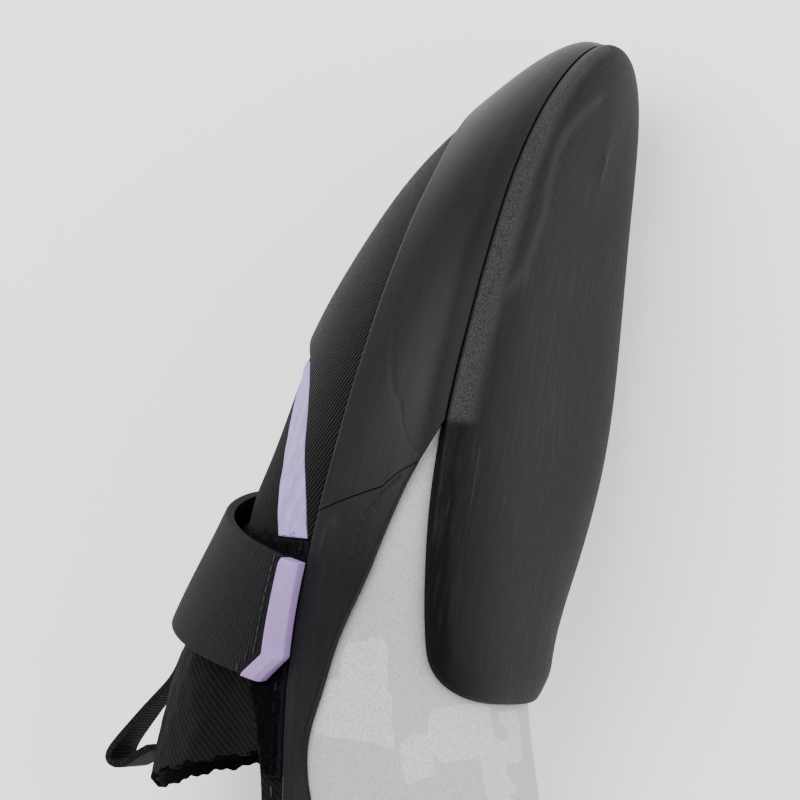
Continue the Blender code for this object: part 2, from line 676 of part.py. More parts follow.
def main():
    for old in list(bpy.data.objects):
        bpy.data.objects.remove(old)
    solids = {name: make() for name, make in PIECES.items()}
    everything = np.vstack([points for points, faces in solids.values()])
    turn = rest_turn(everything)
    laid = everything @ turn.T
    low = laid[:, 2].min()
    middle = (laid.min(0) + laid.max(0)) / 2
    for name, (points, faces) in solids.items():
        mesh = merged(placed(points, turn, low, middle), faces)
        mesh.name = name
        mesh.materials.append(finish(name))
        mesh.shade_smooth()
        mesh.set_sharp_from_angle(angle=SHARP_ANGLE)
        bpy.context.scene.collection.objects.link(bpy.data.objects.new(name, mesh))


main()
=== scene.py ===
"""Climbing shoe for the right foot, lying on its medial side: the looks of every piece, laid out as an
add-on.

The shoe is worked out in its own frame, x from heel to toe, y to the medial side and z up from its sole,
and then laid on the floor. Every layer is a patch of one surface, the last, lifted off it. A place on the
last is a station and a height: stations run round the shoe from 0 at the heel, forward on the lateral side
to TOE at the tip, and back on the medial side to LOOP; heights run from 0 on the sole's middle line to 1 on
the ridge of the instep.
"""

import bmesh
import bpy
import numpy as np
from mathutils import Matrix, Vector


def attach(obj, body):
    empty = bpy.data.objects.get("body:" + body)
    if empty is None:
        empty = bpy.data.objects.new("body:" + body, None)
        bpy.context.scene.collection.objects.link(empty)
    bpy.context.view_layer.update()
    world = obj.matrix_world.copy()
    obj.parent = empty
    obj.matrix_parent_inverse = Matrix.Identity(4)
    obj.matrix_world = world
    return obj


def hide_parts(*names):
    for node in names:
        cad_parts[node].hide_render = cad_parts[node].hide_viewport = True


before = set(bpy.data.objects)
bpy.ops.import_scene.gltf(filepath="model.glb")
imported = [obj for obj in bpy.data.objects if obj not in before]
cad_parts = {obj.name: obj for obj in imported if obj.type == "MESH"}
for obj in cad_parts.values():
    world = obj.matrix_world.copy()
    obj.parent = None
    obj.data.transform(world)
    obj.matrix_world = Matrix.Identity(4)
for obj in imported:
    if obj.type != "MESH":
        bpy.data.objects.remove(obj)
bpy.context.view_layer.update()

bl_info = {
    "name": "Climbing shoe",
    "version": (1, 0, 0),
    "blender": (4, 5, 0),
    "location": "3D View > Sidebar > Shoe",
    "description": "Builds the upper, rubber, strap and tongue of a climbing shoe round its packed frame",
    "category": "Add Mesh",
}

MM = 0.001

# Sizes of the shoe that the layers share with the frame, in metres: the last, the gap between layers, and
# the way on its surface that a height of 1 and a station of 1 stand for.
LENGTH = 0.231
BALL_WIDTH = 0.082
HEEL_WIDTH = 0.058
INSTEP_HEIGHT = 0.086
ARCH_HEIGHT = 0.0135
CLEARANCE = 0.0003
HEIGHT_LENGTH = 0.16
STATION_LENGTH = 0.1 * LENGTH

# How the shoe lies: which way is down in its own frame, and where that frame's origin goes.
DOWN_TURN = np.radians(84.0193)
DOWN_LEAN = np.radians(6.9846)
REST_SHIFT = np.array((0.1166346, 0.0512564, -0.0308425))

# Sections of the last from the heel to the toe, one row for each station. lateral and medial: the widest
# point of each half, x as a share of LENGTH, y of the section's width, z of INSTEP_HEIGHT. spine: x of the
# middle lines. sole and ridge: y and z of the bottom and top middle lines, the sole's z as a share of
# ARCH_HEIGHT. low and top: how square the lower and the upper half is. ball: 0 where the section takes its
# width from HEEL_WIDTH, 1 where it takes it from BALL_WIDTH.
SECTION_COLUMNS = (
    "lateral_x", "lateral_y", "lateral_z", "medial_x", "medial_y", "medial_z",
    "spine_x", "sole_y", "sole_z", "ridge_y", "ridge_z", "low", "top", "ball",
)
SECTIONS = np.array([
    (0.000, 0.000, 0.350, 0.000, 0.000, 0.350, 0.113, 0.000, 0.22, 0.000, 0.91, 2.6, 2.6, 0.00),
    (0.022, -0.293, 0.337, 0.022, 0.293, 0.337, 0.121, 0.000, 0.22, 0.000, 0.92, 2.6, 2.6, 0.00),
    (0.091, -0.466, 0.326, 0.091, 0.457, 0.326, 0.156, 0.000, 0.26, 0.000, 0.95, 2.6, 2.6, 0.00),
    (0.195, -0.517, 0.326, 0.195, 0.483, 0.349, 0.216, -0.017, 0.40, 0.000, 1.00, 2.6, 2.4, 0.00),
    (0.316, -0.484, 0.337, 0.307, 0.469, 0.395, 0.316, -0.045, 0.62, 0.000, 1.035, 2.6, 2.1, 0.25),
    (0.437, -0.486, 0.349, 0.429, 0.414, 0.419, 0.433, -0.043, 1.00, 0.000, 1.00, 2.8, 2.0, 0.50),
    (0.537, -0.512, 0.314, 0.537, 0.466, 0.372, 0.537, -0.026, 0.88, 0.013, 0.868, 3.0, 2.0, 0.80),
    (0.636, -0.488, 0.267, 0.641, 0.512, 0.302, 0.636, 0.012, 0.77, 0.049, 0.757, 3.4, 2.0, 1.00),
    (0.732, -0.433, 0.233, 0.749, 0.518, 0.252, 0.727, 0.037, 0.72, 0.098, 0.694, 3.5, 1.9, 1.00),
    (0.831, -0.311, 0.209, 0.861, 0.506, 0.212, 0.810, 0.098, 0.69, 0.159, 0.597, 3.5, 1.8, 1.00),
    (0.931, -0.085, 0.174, 0.965, 0.470, 0.169, 0.874, 0.159, 0.66, 0.195, 0.485, 3.5, 1.6, 1.00),
    (1.000, 0.268, 0.157, 1.000, 0.268, 0.157, 0.900, 0.183, 0.63, 0.207, 0.378, 3.5, 1.5, 1.00),
])
TOE = len(SECTIONS) - 1
LOOP = 2 * TOE
WIDEST = 0.5

# How far from an end of the middle lines a normal is taken from beside it, in stations and in heights, and
# how much less a height rises under the widest place than over it.
MIDDLE_LINE_END = 0.5
MIDDLE_LINE_SIDE = 0.01
BELOW_SHARE = 0.4

# Edges on the last: rows of station, counted from the heel on either side, and height.
SOLE_EDGE = (
    (0, 0.27), (4.8, 0.27), (5.6, 0.292), (6.3, 0.310), (9.3, 0.315), (9.7, 0.325), (10.5, 0.348),
    (11, 0.357),
)
RAND_TOP = (
    (0, 0.66), (1, 0.655), (2, 0.635), (3, 0.612), (4.4, 0.600), (5.6, 0.595), (7, 0.600), (8.1, 0.600),
    (9, 0.610), (9.65, 0.634), (10.16, 0.70), (10.6, 0.79), (11, 0.84),
)
RAND_FOOT = (
    (0, 0.0), (1.0, 0.0), (1.3, 0.05), (1.6, 0.12), (1.8, 0.17), (2.0, 0.23), (2.2, 0.275), (2.4, 0.315),
    (2.6, 0.36), (2.8, 0.42), (3.05, 0.47), (3.3, 0.50), (3.6, 0.537), (3.85, 0.557), (4.4, 0.572),
    (4.9, 0.550), (5.3, 0.533), (5.75, 0.509), (6.15, 0.474), (6.45, 0.437), (6.75, 0.395), (6.95, 0.362),
    (7.27, 0.318), (7.4, 0.30), (11, 0.30),
)
COLLAR = (
    (0, 0.76), (1, 0.745), (2, 0.69), (3, 0.652), (3.8, 0.638), (4.4, 0.645), (5, 0.675), (5.6, 0.73),
    (6.2, 0.79), (6.7, 0.89), (7.0, 1.0), (11, 1.0),
)
PATCH_TOP = (
    (6.1, 0.603), (6.55, 0.636), (6.94, 0.672), (7.34, 0.704), (7.6, 0.735), (7.8, 0.775), (8.0, 0.86),
    (8.2, 1.0), (11, 1.0),
)
STRIPE_TOP = ((6.1, 0.662), (6.53, 0.704), (6.84, 0.728), (7.34, 0.768), (7.7, 0.790), (7.8, 0.796))
PILE_TOP = ((4.1, 0.628), (4.4, 0.635), (5, 0.663), (5.6, 0.716), (6.2, 0.774))
TONGUE_EDGE = ((4.1, 0.60), (5, 0.63), (6, 0.71), (7.0, 0.83), (7.4, 0.90))

# Where pieces start, end and meet, in stations. RAND_JOINT is where the toe band ends at the heel band, at
# its middle height. TONGUE_CUT is how much shorter the tongue is at its edges than on the ridge, and the
# heights after TONGUE_LIFT_FROM say where it comes out between the flaps and stands up. OUTSOLE_CORNER is how
# much shorter the outsole is at its sides, and EDGE_HIGHLIGHT_FROM where the painted highlight along its
# lateral edge starts. INSOLE_SIDE, STRAP_FOOT and STRAP_REACH are heights. STRAP_SWEEP is how far the strap
# slants back on its way down; its bend, climb and cut corner are shares of that way, and the corner's width
# one of its own width.
RAND_JOINT = 6.66
RAND_JOINT_SLANT = 0.50
TRIM_BACK = 6.16
TRIM_BACK_MEDIAL = 6.62
PILE_BACK = 4.20
STRIPE_FRONT = 7.76
TONGUE_BACK = 4.00
TONGUE_CUT = 0.42
TONGUE_FRONT = 7.40
TONGUE_LIFT_FROM = 5.10
TONGUE_FREE = 0.04
TONGUE_RAMP = 0.09
TONGUE_RISES_FROM = 0.70
TONGUE_RISES_OVER = 0.20
OUTSOLE_BACK = 4.83
OUTSOLE_CORNER = 0.50
OUTSOLE_CORNER_POWER = 3
EDGE_HIGHLIGHT_FROM = 7.25
INSOLE_BACK = 1.0
INSOLE_FRONT = 10.6
INSOLE_SIDE = 0.20
STRAP_ON_RIDGE = 5.95
STRAP_SWEEP = 0.52
STRAP_BEND = 0.15
STRAP_CLIMB = 0.60
STRAP_FOOT = 0.604
STRAP_REACH = 0.592
STRAP_CORNER = 0.075
STRAP_CORNER_WIDTH = 0.225
PULL_LOOP_START = 5.05
PULL_LOOP_END = 4.32

# The pull loop's middle line on its way from its foot, as shares of its reach and its rise, then how wide
# its foot is as a share of its width, and the share of its length in which it widens.
PULL_LOOP_SHARES = (
    (0.000, 0.000), (0.255, 0.170), (0.553, 0.555), (0.838, 0.905), (0.957, 1.000), (1.000, 0.945),
    (0.990, 0.810), (0.915, 0.640),
)
PULL_LOOP_FOOT_WIDTH = 0.35
PULL_LOOP_WIDENS_BY = 0.55

# Lines that show on the rubber, as places: the seam under the toe band, the sewn line under the heel band,
# the main scuff on the sole, and the fold along the heel band.
TOE_BAND_SEAM = (
    (8.35, 0.552), (8.05, 0.546), (7.75, 0.535), (7.51, 0.520), (7.34, 0.495), (7.18, 0.460), (7.05, 0.420),
    (6.97, 0.386),
)
HIDDEN_STITCHING = ((6.75, 0.422), (6.58, 0.498), (6.44, 0.514), (6.28, 0.522), (6.03, 0.524), (5.69, 0.524))
SCUFF = ((10.6, 0.20), (9.9, 0.24), (9.25, 0.20), (8.7, 0.21), (8.38, 0.27))
HEEL_BAND_FOLD = ((6.3, 0.566), (5.6, 0.572), (4.9, 0.579), (4.0, 0.584), (3.0, 0.58))

# The camera, in the shoe's own frame: how far it stands round from under the sole to the lateral side, its
# roll, the toe's tip and that tip's pixel, the picture's pixels and pixels to a metre, its distance in
# metres and its sensor in millimetres.
CAMERA_ELEVATION = np.radians(65.5)
CAMERA_ROLL = np.radians(3.0)
TOE_TIP = np.array((0.2333, 0.022, 0.008))
PICTURE_PIXELS = 800
PICTURE_SCALE = 4800.0
TIP_PIXEL = np.array((606.0, 43.0))
CAMERA_DISTANCE = 1.2
SENSOR_WIDTH = 36.0


def length_property(name, description, millimetres):
    """A length that the user can change."""
    return bpy.props.FloatProperty(
        name=name, description=description, default=millimetres * MM, unit="LENGTH")


def colour_property(name, description, code):
    """A colour that the user can change, from its sRGB hex code."""
    return bpy.props.FloatVectorProperty(
        name=name, description=description, default=linear(code), subtype="COLOR", size=3, min=0, max=1)


def linear(code):
    """An sRGB hex code as three linear values."""
    values = np.array([int(code[i:i + 2], 16) for i in (0, 2, 4)]) / 255
    return tuple(np.where(values <= 0.04045, values / 12.92, ((values + 0.055) / 1.055) ** 2.4))


class ShoeSizes(bpy.types.PropertyGroup):
    """Thicknesses and widths of the layers."""

    upper_wall: length_property("Upper wall", "Microsuede and lining together", 1.8)
    insole: length_property("Insole", "Thickness of the insole board", 1.5)
    outsole: length_property("Outsole", "Thickness of the half sole", 4.3)
    outsole_edge: length_property("Outsole edge", "Thickness left at the ground edge", 2.0)
    bevel: length_property("Bevel", "Width of the ground edge", 6.0)
    rand: length_property("Rand", "Thickness of the rubber bands", 2.0)
    toe_patch: length_property("Toe patch", "Thickness of the ribbed patch", 1.1)
    trim: length_property("Trim", "Thickness of the throat trim", 0.7)
    pile: length_property("Pile", "Thickness of the loop pile", 1.8)
    strap_width: length_property("Strap width", "Width of the webbing", 25)
    strap: length_property("Strap", "Thickness of webbing and hook tape", 1.8)
    tab_length: length_property("Tab length", "Width of the moulded tab past the webbing", 5.0)
    tab: length_property("Tab", "Thickness of the moulded tab", 3.4)
    tongue: length_property("Tongue", "Thickness of the knit", 1.8)
    tongue_rise: length_property("Tongue rise", "How far its end stands up", 2.5)
    tongue_gap: length_property("Tongue gap", "Room between tongue and flaps", 1.3)
    loop_width: length_property("Pull loop width", "Width of its webbing", 12)
    loop: length_property("Pull loop", "Thickness of its webbing", 1.5)
    loop_reach: length_property("Pull loop reach", "How far it stands back from its foot", 23.5)
    loop_rise: length_property("Pull loop rise", "How far it stands up from its foot", 14.8)
    stitch: length_property("Stitch", "Length of one stitch", 2.4)


class ShoeColours(bpy.types.PropertyGroup):
    """Colours of the materials."""

    suede: colour_property("Suede", "Ground of the microsuede", "B6B6B7")
    suede_patch: colour_property("Suede patches", "Lighter blocks printed on the microsuede", "D2D2D2")
    knit: colour_property("Knit", "Stretch knit of the throat and tongue", "0A0A0C")
    lining: colour_property("Lining", "Lining cloth", "C9C9C6")
    sole: colour_property("Sole rubber", "Half sole", "0E0E0E")
    # This colour paints the real streaks and scuffs of the sole and, made lighter, the painted highlight
    # along its lateral edge.
    scuff_and_highlight: colour_property("Buffed rubber", "Where the edge was ground", "2C2C2C")
    rand: colour_property("Rand rubber", "Bands round toe and heel", "101013")
    ribbed: colour_property("Ribbed rubber", "Toe patch", "0C0C0E")
    lavender: colour_property("Lavender", "Throat trim", "A48EC8")
    tab: colour_property("Tab", "Moulded tab", "9B80B8")
    webbing: colour_property("Webbing", "Strap and pull loop", "0F0E12")
    pile: colour_property("Pile", "Loop pile", "0F0F13")
    thread: colour_property("Thread", "Stitches", "111114")
    floor: colour_property("Floor", "Studio floor", "FAFAFA")


class StageSettings(bpy.types.PropertyGroup):
    """The studio's light."""

    key_power: bpy.props.FloatProperty(
        name="Key light", description="Power of the large soft light", default=62, unit="POWER")
    fill_power: bpy.props.FloatProperty(
        name="Fill light", description="Power of the light on the other side", default=22, unit="POWER")
    sky: bpy.props.FloatProperty(name="Sky", description="Strength of the even light", default=0.7)


# Curves and the last.


def closed_spline(values):
    """Cubic spline through rows one key apart that closes on itself; returns a function of the key."""
    count = len(values)
    bands = 4 * np.eye(count) + np.roll(np.eye(count), 1, 0) + np.roll(np.eye(count), -1, 0)
    second = 6 * (np.roll(values, -1, 0) - 2 * values + np.roll(values, 1, 0))
    bend = np.linalg.solve(bands, second)

    def at(key):
        row = np.floor(key).astype(int)
        part = (key - row)[..., None]
        rest = 1 - part
        here, after = row % count, (row + 1) % count
        line = rest * values[here] + part * values[after]
        return line + ((rest ** 3 - rest) * bend[here] + (part ** 3 - part) * bend[after]) / 6

    return at


def smooth_line(rows):
    """Smooth curve through rows of key and value; returns a function of the key, level past both ends."""
    keys, values = np.array(rows, float).T
    slopes = np.gradient(values, keys)

    def at(key):
        key = np.clip(key, keys[0], keys[-1])
        row = np.clip(np.searchsorted(keys, key, side="right") - 1, 0, len(keys) - 2)
        width = keys[row + 1] - keys[row]
        part = (key - keys[row]) / width
        rest = 1 - part
        ends = values[row] * rest ** 2 * (1 + 2 * part) + values[row + 1] * part ** 2 * (1 + 2 * rest)
        return ends + width * (slopes[row] * part * rest ** 2 - slopes[row + 1] * part ** 2 * rest)

    return at


def smooth_step(value):
    """0 below 0, 1 above 1, and a smooth rise between."""
    value = np.clip(value, 0, 1)
    return value * value * (3 - 2 * value)


def sections_in_metres():
    """The ring of widest points and the rows of the middle lines, in metres."""
    column = {name: SECTIONS[:, i] for i, name in enumerate(SECTION_COLUMNS)}
    width = HEEL_WIDTH + (BALL_WIDTH - HEEL_WIDTH) * column["ball"]
    sides = {}
    for side in ("lateral", "medial"):
        sides[side] = np.stack([
            column[side + "_x"] * LENGTH,
            column[side + "_y"] * width,
            column[side + "_z"] * INSTEP_HEIGHT,
        ], -1)
    spine = np.stack([
        column["spine_x"] * LENGTH,
        column["sole_y"] * width,
        column["sole_z"] * ARCH_HEIGHT,
        column["ridge_y"] * width,
        column["ridge_z"] * INSTEP_HEIGHT,
        column["low"],
        column["top"],
    ], -1)
    ring = np.vstack([sides["lateral"], sides["medial"][-2:0:-1]])
    return ring, np.vstack([spine, spine[-2:0:-1]])


RING_ROWS, SPINE_ROWS = sections_in_metres()
widest_at = closed_spline(RING_ROWS)
spine_at = closed_spline(SPINE_ROWS)


def last_point(station, height):
    """Point of the last. Each half section is a quarter of a squared-off ellipse below the widest point and
    another above it. A height below 0 or above 1 goes on across the middle line, to the other side."""
    station, height = np.broadcast_arrays(np.asarray(station, float), np.asarray(height, float))
    across = (height < 0) | (height > 1)
    height = np.where(height > 1, 2 - height, np.abs(height))
    station = np.where(across, LOOP - station, station)
    widest = widest_at(station)
    spine = spine_at(station)
    below = height <= WIDEST
    square = np.where(below, spine[..., 5], spine[..., 6])
    sine, cosine = np.abs(np.sin(height * np.pi)), np.abs(np.cos(height * np.pi))
    radius = (sine ** square + cosine ** square) ** (-1 / square)
    out, up = sine * radius, cosine * radius
    middle_y = np.where(below, spine[..., 1], spine[..., 3])
    middle_z = np.where(below, spine[..., 2], spine[..., 4])
    return np.stack([
        spine[..., 0] + (widest[..., 0] - spine[..., 0]) * out,
        middle_y + (widest[..., 1] - middle_y) * out,
        widest[..., 2] + (middle_z - widest[..., 2]) * up,
    ], -1)


def raw_normal(station, height):
    """Cross product of the two central differences, pointing out of the last."""
    step, rise = 0.02, 0.004
    along = last_point(station + step, height) - last_point(station - step, height)
    upward = last_point(station, height + rise) - last_point(station, height - rise)
    return np.cross(along, upward)


def lifted(station, height, lift):
    """Points at the given lift off the last, in metres. Close to the four ends of the middle lines, where
    all stations meet, the normal is that of the middle line half a station away."""
    station, height, lift = np.broadcast_arrays(
        np.asarray(station, float), np.asarray(height, float), np.asarray(lift, float)
    )
    normal = raw_normal(station, height)
    nearest_end = np.round(station / TOE) * TOE
    beside_station = np.where(nearest_end == TOE, TOE - MIDDLE_LINE_END, MIDDLE_LINE_END)
    beside = raw_normal(beside_station, np.round(height))
    aside = np.abs(station - nearest_end)
    off_line = np.abs(height - np.round(height))
    blend = smooth_step(1.5 - aside / MIDDLE_LINE_END) * smooth_step(1.5 - off_line / MIDDLE_LINE_SIDE)
    normal = normal / np.maximum(np.linalg.norm(normal, axis=-1, keepdims=True), 1e-12)
    beside = beside / np.linalg.norm(beside, axis=-1, keepdims=True)
    normal = normal + (beside - normal) * blend[..., None]
    normal = normal / np.linalg.norm(normal, axis=-1, keepdims=True)
    return last_point(station, height) + normal * lift[..., None]


def around(rows):
    """An edge as a function of the ring's station, from rows counted from the heel on either side."""
    side = smooth_line(rows)

    def at(station):
        station = np.mod(station, LOOP)
        return side(np.minimum(station, LOOP - station))

    return at


def over_widest(rows):
    """An edge that crosses the widest place. A step in height rises BELOW_SHARE as far under it
    as over it, so the curve is drawn in equal rises and turned back to heights, which leaves no
    bend where it crosses."""
    stations, heights = np.array(rows).T
    over = heights - WIDEST
    rises = around(np.stack([stations, np.where(over > 0, over, over * BELOW_SHARE)], -1))

    def at(station):
        rise = rises(station)
        return WIDEST + np.where(rise > 0, rise, rise / BELOW_SHARE)

    return at


sole_edge = around(SOLE_EDGE)
rand_top = around(RAND_TOP)
rand_foot = over_widest(RAND_FOOT)
collar = around(COLLAR)
patch_top = around(PATCH_TOP)
stripe_top = around(STRIPE_TOP)
pile_top = around(PILE_TOP)
tongue_edge = around(TONGUE_EDGE)

# Room round a layer's borders, in heights and stations, and between ends that butt against each other.
EDGE_GAP = 0.8 * CLEARANCE / HEIGHT_LENGTH
END_GAP = 0.8 * CLEARANCE / STATION_LENGTH
BUTT_GAP = 0.03 * MM / STATION_LENGTH


def rest_turn():
    """Rotation from the shoe's frame to the row's: rows are forward, up the shoe, and up from the floor."""
    down = np.array((
        -np.cos(DOWN_TURN),
        np.sin(DOWN_TURN) * np.cos(DOWN_LEAN),
        np.sin(DOWN_TURN) * np.sin(DOWN_LEAN),
    ))
    forward = np.array((1.0, 0.0, 0.0)) - down * down[0]
    forward /= np.linalg.norm(forward)
    return np.array([forward, np.cross(-down, forward), -down])


REST_TURN = rest_turn()


def camera_axes():
    """The camera's right, up and back in the shoe's frame: back is under the sole turned up to the lateral
    side by the elevation, and up is the way to the toe, rolled about back."""
    back = np.array((0, -np.sin(CAMERA_ELEVATION), -np.cos(CAMERA_ELEVATION)))
    ahead = np.array((1.0, 0, 0))
    side = np.cross(ahead, back)
    up = ahead * np.cos(CAMERA_ROLL) - side * np.sin(CAMERA_ROLL)
    right = side * np.cos(CAMERA_ROLL) + ahead * np.sin(CAMERA_ROLL)
    return np.array([right, up, back])


def laid(points):
    """Points of the shoe's frame in the row's, pressed flat where they would reach below the floor."""
    points = points @ REST_TURN.T - REST_SHIFT
    points[..., 2] = np.maximum(points[..., 2], 0)
    return points


# Grids and meshes.

# Points closer than this become one, in metres.
WELD = 0.000004


def shares(count, border):
    """Shares from 0 to 1, close together inside the border's share at both ends. border has
    one value a line."""
    quarter = 1 - np.cos(np.linspace(0, np.pi / 2, 6))
    middle = np.linspace(0, 1, count)[1:-1]
    border = np.asarray(border, float)[..., None]
    between = border + (1 - 2 * border) * middle
    return np.concatenate([border * quarter, between, 1 - border * quarter[::-1]], -1)


def round_edge(distance, radius):
    """Share of full height at a distance in from an edge rounded to a quarter of a circle."""
    inside = np.clip(distance / radius, 0, 1)
    return np.sqrt(np.maximum(1 - (1 - inside) ** 2, 0))


def patch(start, end, low, high, columns, rows, slants=(0, 0), radius=0.0006):
    """Station and height grids of a patch between two stations and two edges, with its distance in metres
    from each of its four borders. Shares of the way along and up make the grid, closer at the borders; its
    ends may slant by the given stations from foot to top, which dies out over 1.2 stations."""
    slant_over = 1.2
    reach = end - start
    up = shares(rows, 0.05)[None, :]
    along = shares(columns, radius / STATION_LENGTH / reach)[:, None]
    station = start + reach * along
    lean = slants[0] * np.clip(1 - (station - start) / slant_over, 0, 1)
    lean = lean + slants[1] * np.clip(1 - (end - station) / slant_over, 0, 1)
    station = station + (up - 0.5) * lean
    foot, top = low(station), high(station)
    height = foot + (top - foot) * up
    border = {
        "start": (along * reach + 0 * up) * STATION_LENGTH,
        "end": ((1 - along) * reach + 0 * up) * STATION_LENGTH,
        "low": (height - foot) * HEIGHT_LENGTH,
        "high": (top - height) * HEIGHT_LENGTH,
    }
    return station, height, border


def slab(inner, outer, folds, texture):
    """Vertices, four-sided faces and texture places of a solid between two grids of points: the faces of
    the inner grid come first, then those of the outer one. Walls close its four borders, but not between
    two points that folds marks, with one array of marks for a border."""
    columns, rows = inner.shape[:2]
    count = columns * rows
    index = np.arange(count).reshape(columns, rows)

    def quads(a, b, c, d):
        return np.stack([a.ravel(), b.ravel(), c.ravel(), d.ravel()], -1)

    a, b, c, d = index[:-1, :-1], index[1:, :-1], index[1:, 1:], index[:-1, 1:]
    faces = [quads(a, d, c, b), quads(a, b, c, d) + count]
    borders = {"low": index[:, 0], "high": index[::-1, -1], "start": index[0, ::-1], "end": index[-1]}
    for name, line in borders.items():
        wall = quads(line[:-1], line[1:], line[1:] + count, line[:-1] + count)
        if name in folds:
            folded = folds[name].ravel()
            folded = folded[::-1] if name in ("high", "start") else folded
            wall = wall[~(folded[:-1] & folded[1:])]
        faces.append(wall)
    points = np.vstack([inner.reshape(-1, 3), outer.reshape(-1, 3)])
    return points, np.vstack(faces), np.vstack([texture.reshape(-1, 2)] * 2)


def tube_faces(count, rings, sides):
    """Four-sided faces of open tubes, whose vertices are numbered tube by tube and ring by ring."""
    index = np.arange(count * rings * sides).reshape(count, rings, sides)
    a, b = index[:, :-1], index[:, 1:]
    return np.stack([a, np.roll(a, -1, 2), np.roll(b, -1, 2), b], -1).reshape(-1, 4)


def piece(name, points, faces, texture, materials, faces_of=None, attributes=None, weld=True, sharp=50):
    """Object of a mesh, smooth but for edges sharper than the given degrees, with its texture
    places in metres, the number of each face's material, and its own attributes. Welding closes
    its seams and folds."""
    mesh = bpy.data.meshes.new(name)
    mesh.vertices.add(len(points))
    mesh.vertices.foreach_set("co", np.ascontiguousarray(points, np.float32).ravel())
    mesh.loops.add(faces.size)
    mesh.loops.foreach_set("vertex_index", faces.ravel().astype(np.int32))
    mesh.polygons.add(len(faces))
    mesh.polygons.foreach_set("loop_start", np.arange(0, faces.size, faces.shape[1], dtype=np.int32))
    for material in materials:
        mesh.materials.append(material)
    if faces_of is not None:
        mesh.polygons.foreach_set("material_index", faces_of.astype(np.int32))
    mesh.update(calc_edges=True)
    if texture is not None:
        layer = mesh.uv_layers.new(name="UVMap")
        layer.uv.foreach_set("vector", texture[faces.ravel()].astype(np.float32).ravel())
    for key, values in (attributes or {}).items():
        attribute = mesh.attributes.new(key, "FLOAT", "POINT")
        attribute.data.foreach_set("value", values.astype(np.float32).ravel())
    if weld:
        work = bmesh.new()
        work.from_mesh(mesh)
        bmesh.ops.remove_doubles(work, verts=work.verts, dist=WELD)
        bmesh.ops.recalc_face_normals(work, faces=work.faces)
        work.to_mesh(mesh)
        work.free()
    mesh.shade_smooth()
    mesh.set_sharp_from_angle(angle=np.radians(sharp))
    made = bpy.data.objects.new(name, mesh)
    bpy.context.scene.collection.objects.link(made)
    return made


def settle(made, node, replace=True):
    """Hands a piece to the frame: it rides on the shoe and, when it replaces its node, hides the frame's own
    part of that name.
    """
    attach(made, "root")
    if replace:
        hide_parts(node)


def place_texture(station, height):
    """Texture place in metres: along the shoe and up its side."""
    return np.stack(np.broadcast_arrays(station * STATION_LENGTH, height * HEIGHT_LENGTH), -1)


def from_path(path, station, height):
    """Distance in metres from places on the last to a path of places, and how far along the path they lie.
    The nearest of its straight stretches counts."""
    scale = np.array((STATION_LENGTH, HEIGHT_LENGTH))
    place = np.stack(np.broadcast_arrays(station, height), -1) * scale
    corners = np.array(path) * scale
    nearest = np.full(place.shape[:-1], np.inf)
    along = np.zeros(place.shape[:-1])
    walked = 0.0
    for first, last in zip(corners[:-1], corners[1:]):
        run = last - first
        length = np.linalg.norm(run)
        share = np.clip((place - first) @ run / length ** 2, 0, 1)
        distance = np.linalg.norm(place - first - share[..., None] * run, axis=-1)
        along = np.where(distance < nearest, walked + share * length, along)
        nearest = np.minimum(nearest, distance)
        walked += length
    return nearest, along


def groove(distance, width, depth):
    """Lift of a soft groove: depth times a bell curve of the distance."""
    return -depth * np.exp(-(distance / width) ** 2)


def waves(station, height, seed, length, size):
    """Lift of slow unevenness: a sum of a few sine waves of random direction, length about as given."""
    draw = np.random.default_rng(seed)
    total = 0
    for _ in range(5):
        turn = draw.uniform(0, 2 * np.pi)
        pace = 2 * np.pi / (length * draw.uniform(0.6, 1.5))
        offset = draw.uniform(0, 2 * np.pi)
        across = station * STATION_LENGTH * np.cos(turn) + height * HEIGHT_LENGTH * np.sin(turn)
        total = total + np.sin(across * pace + offset)
    return total * size / 5


# Materials.


def add(tree, kind, sockets=None, output=0, **settings):
    """Adds a shader node, sets its settings, fills its sockets with values or links,
    and gives one output."""
    made = tree.nodes.new("ShaderNode" + kind)
    for name, value in settings.items():
        setattr(made, name, value)
    for name, value in (sockets or {}).items():
        if isinstance(value, bpy.types.NodeSocket):
            tree.links.new(value, made.inputs[name])
        else:
            made.inputs[name].default_value = value
    return made.outputs[2 if kind == "Mix" else output]


def shade(colour, amount):
    """A colour made lighter or darker by a factor, with full cover."""
    return (*(min(1.0, channel * amount) for channel in colour), 1)


def wave_scale(pitch):
    """Scale at which a wave texture repeats every pitch, in metres: a tenth of pi over it."""
    return np.pi / 10 / pitch


def own_places(tree, *turns_and_stretches):
    """Links to Object places in metres, and to the piece's own texture places in metres, once for each pair
    of a turn about their middle and a stretch."""
    coordinates = tree.nodes.new("ShaderNodeTexCoord")
    places = [coordinates.outputs["Object"]]
    for turn, stretch in turns_and_stretches:
        places.append(add(tree, "Mapping", {
            "Vector": coordinates.outputs["UV"], "Rotation": (0, 0, turn), "Scale": stretch,
        }))
    return places


def finished(name, build, sockets):
    """A named material: its Principled shader has the constant sockets given, and build, called with the
    node tree, gives a link for the base colour, one or none for the roughness, and pairs of height and
    depth for its bumps."""
    material = bpy.data.materials.new(name)
    material.use_nodes = True
    tree = material.node_tree
    shader = tree.nodes["Principled BSDF"]
    for socket, value in sockets.items():
        shader.inputs[socket].default_value = value
    colour, roughness, heights = build(tree)
    tree.links.new(colour, shader.inputs["Base Color"])
    if roughness is not None:
        tree.links.new(roughness, shader.inputs["Roughness"])
    normal = None
    for height, depth in heights:
        links = {"Height": height, "Distance": depth, "Strength": 1.0}
        if normal is not None:
            links["Normal"] = normal
        normal = add(tree, "Bump", links)
    if normal is not None:
        tree.links.new(normal, shader.inputs["Normal"])
    return material


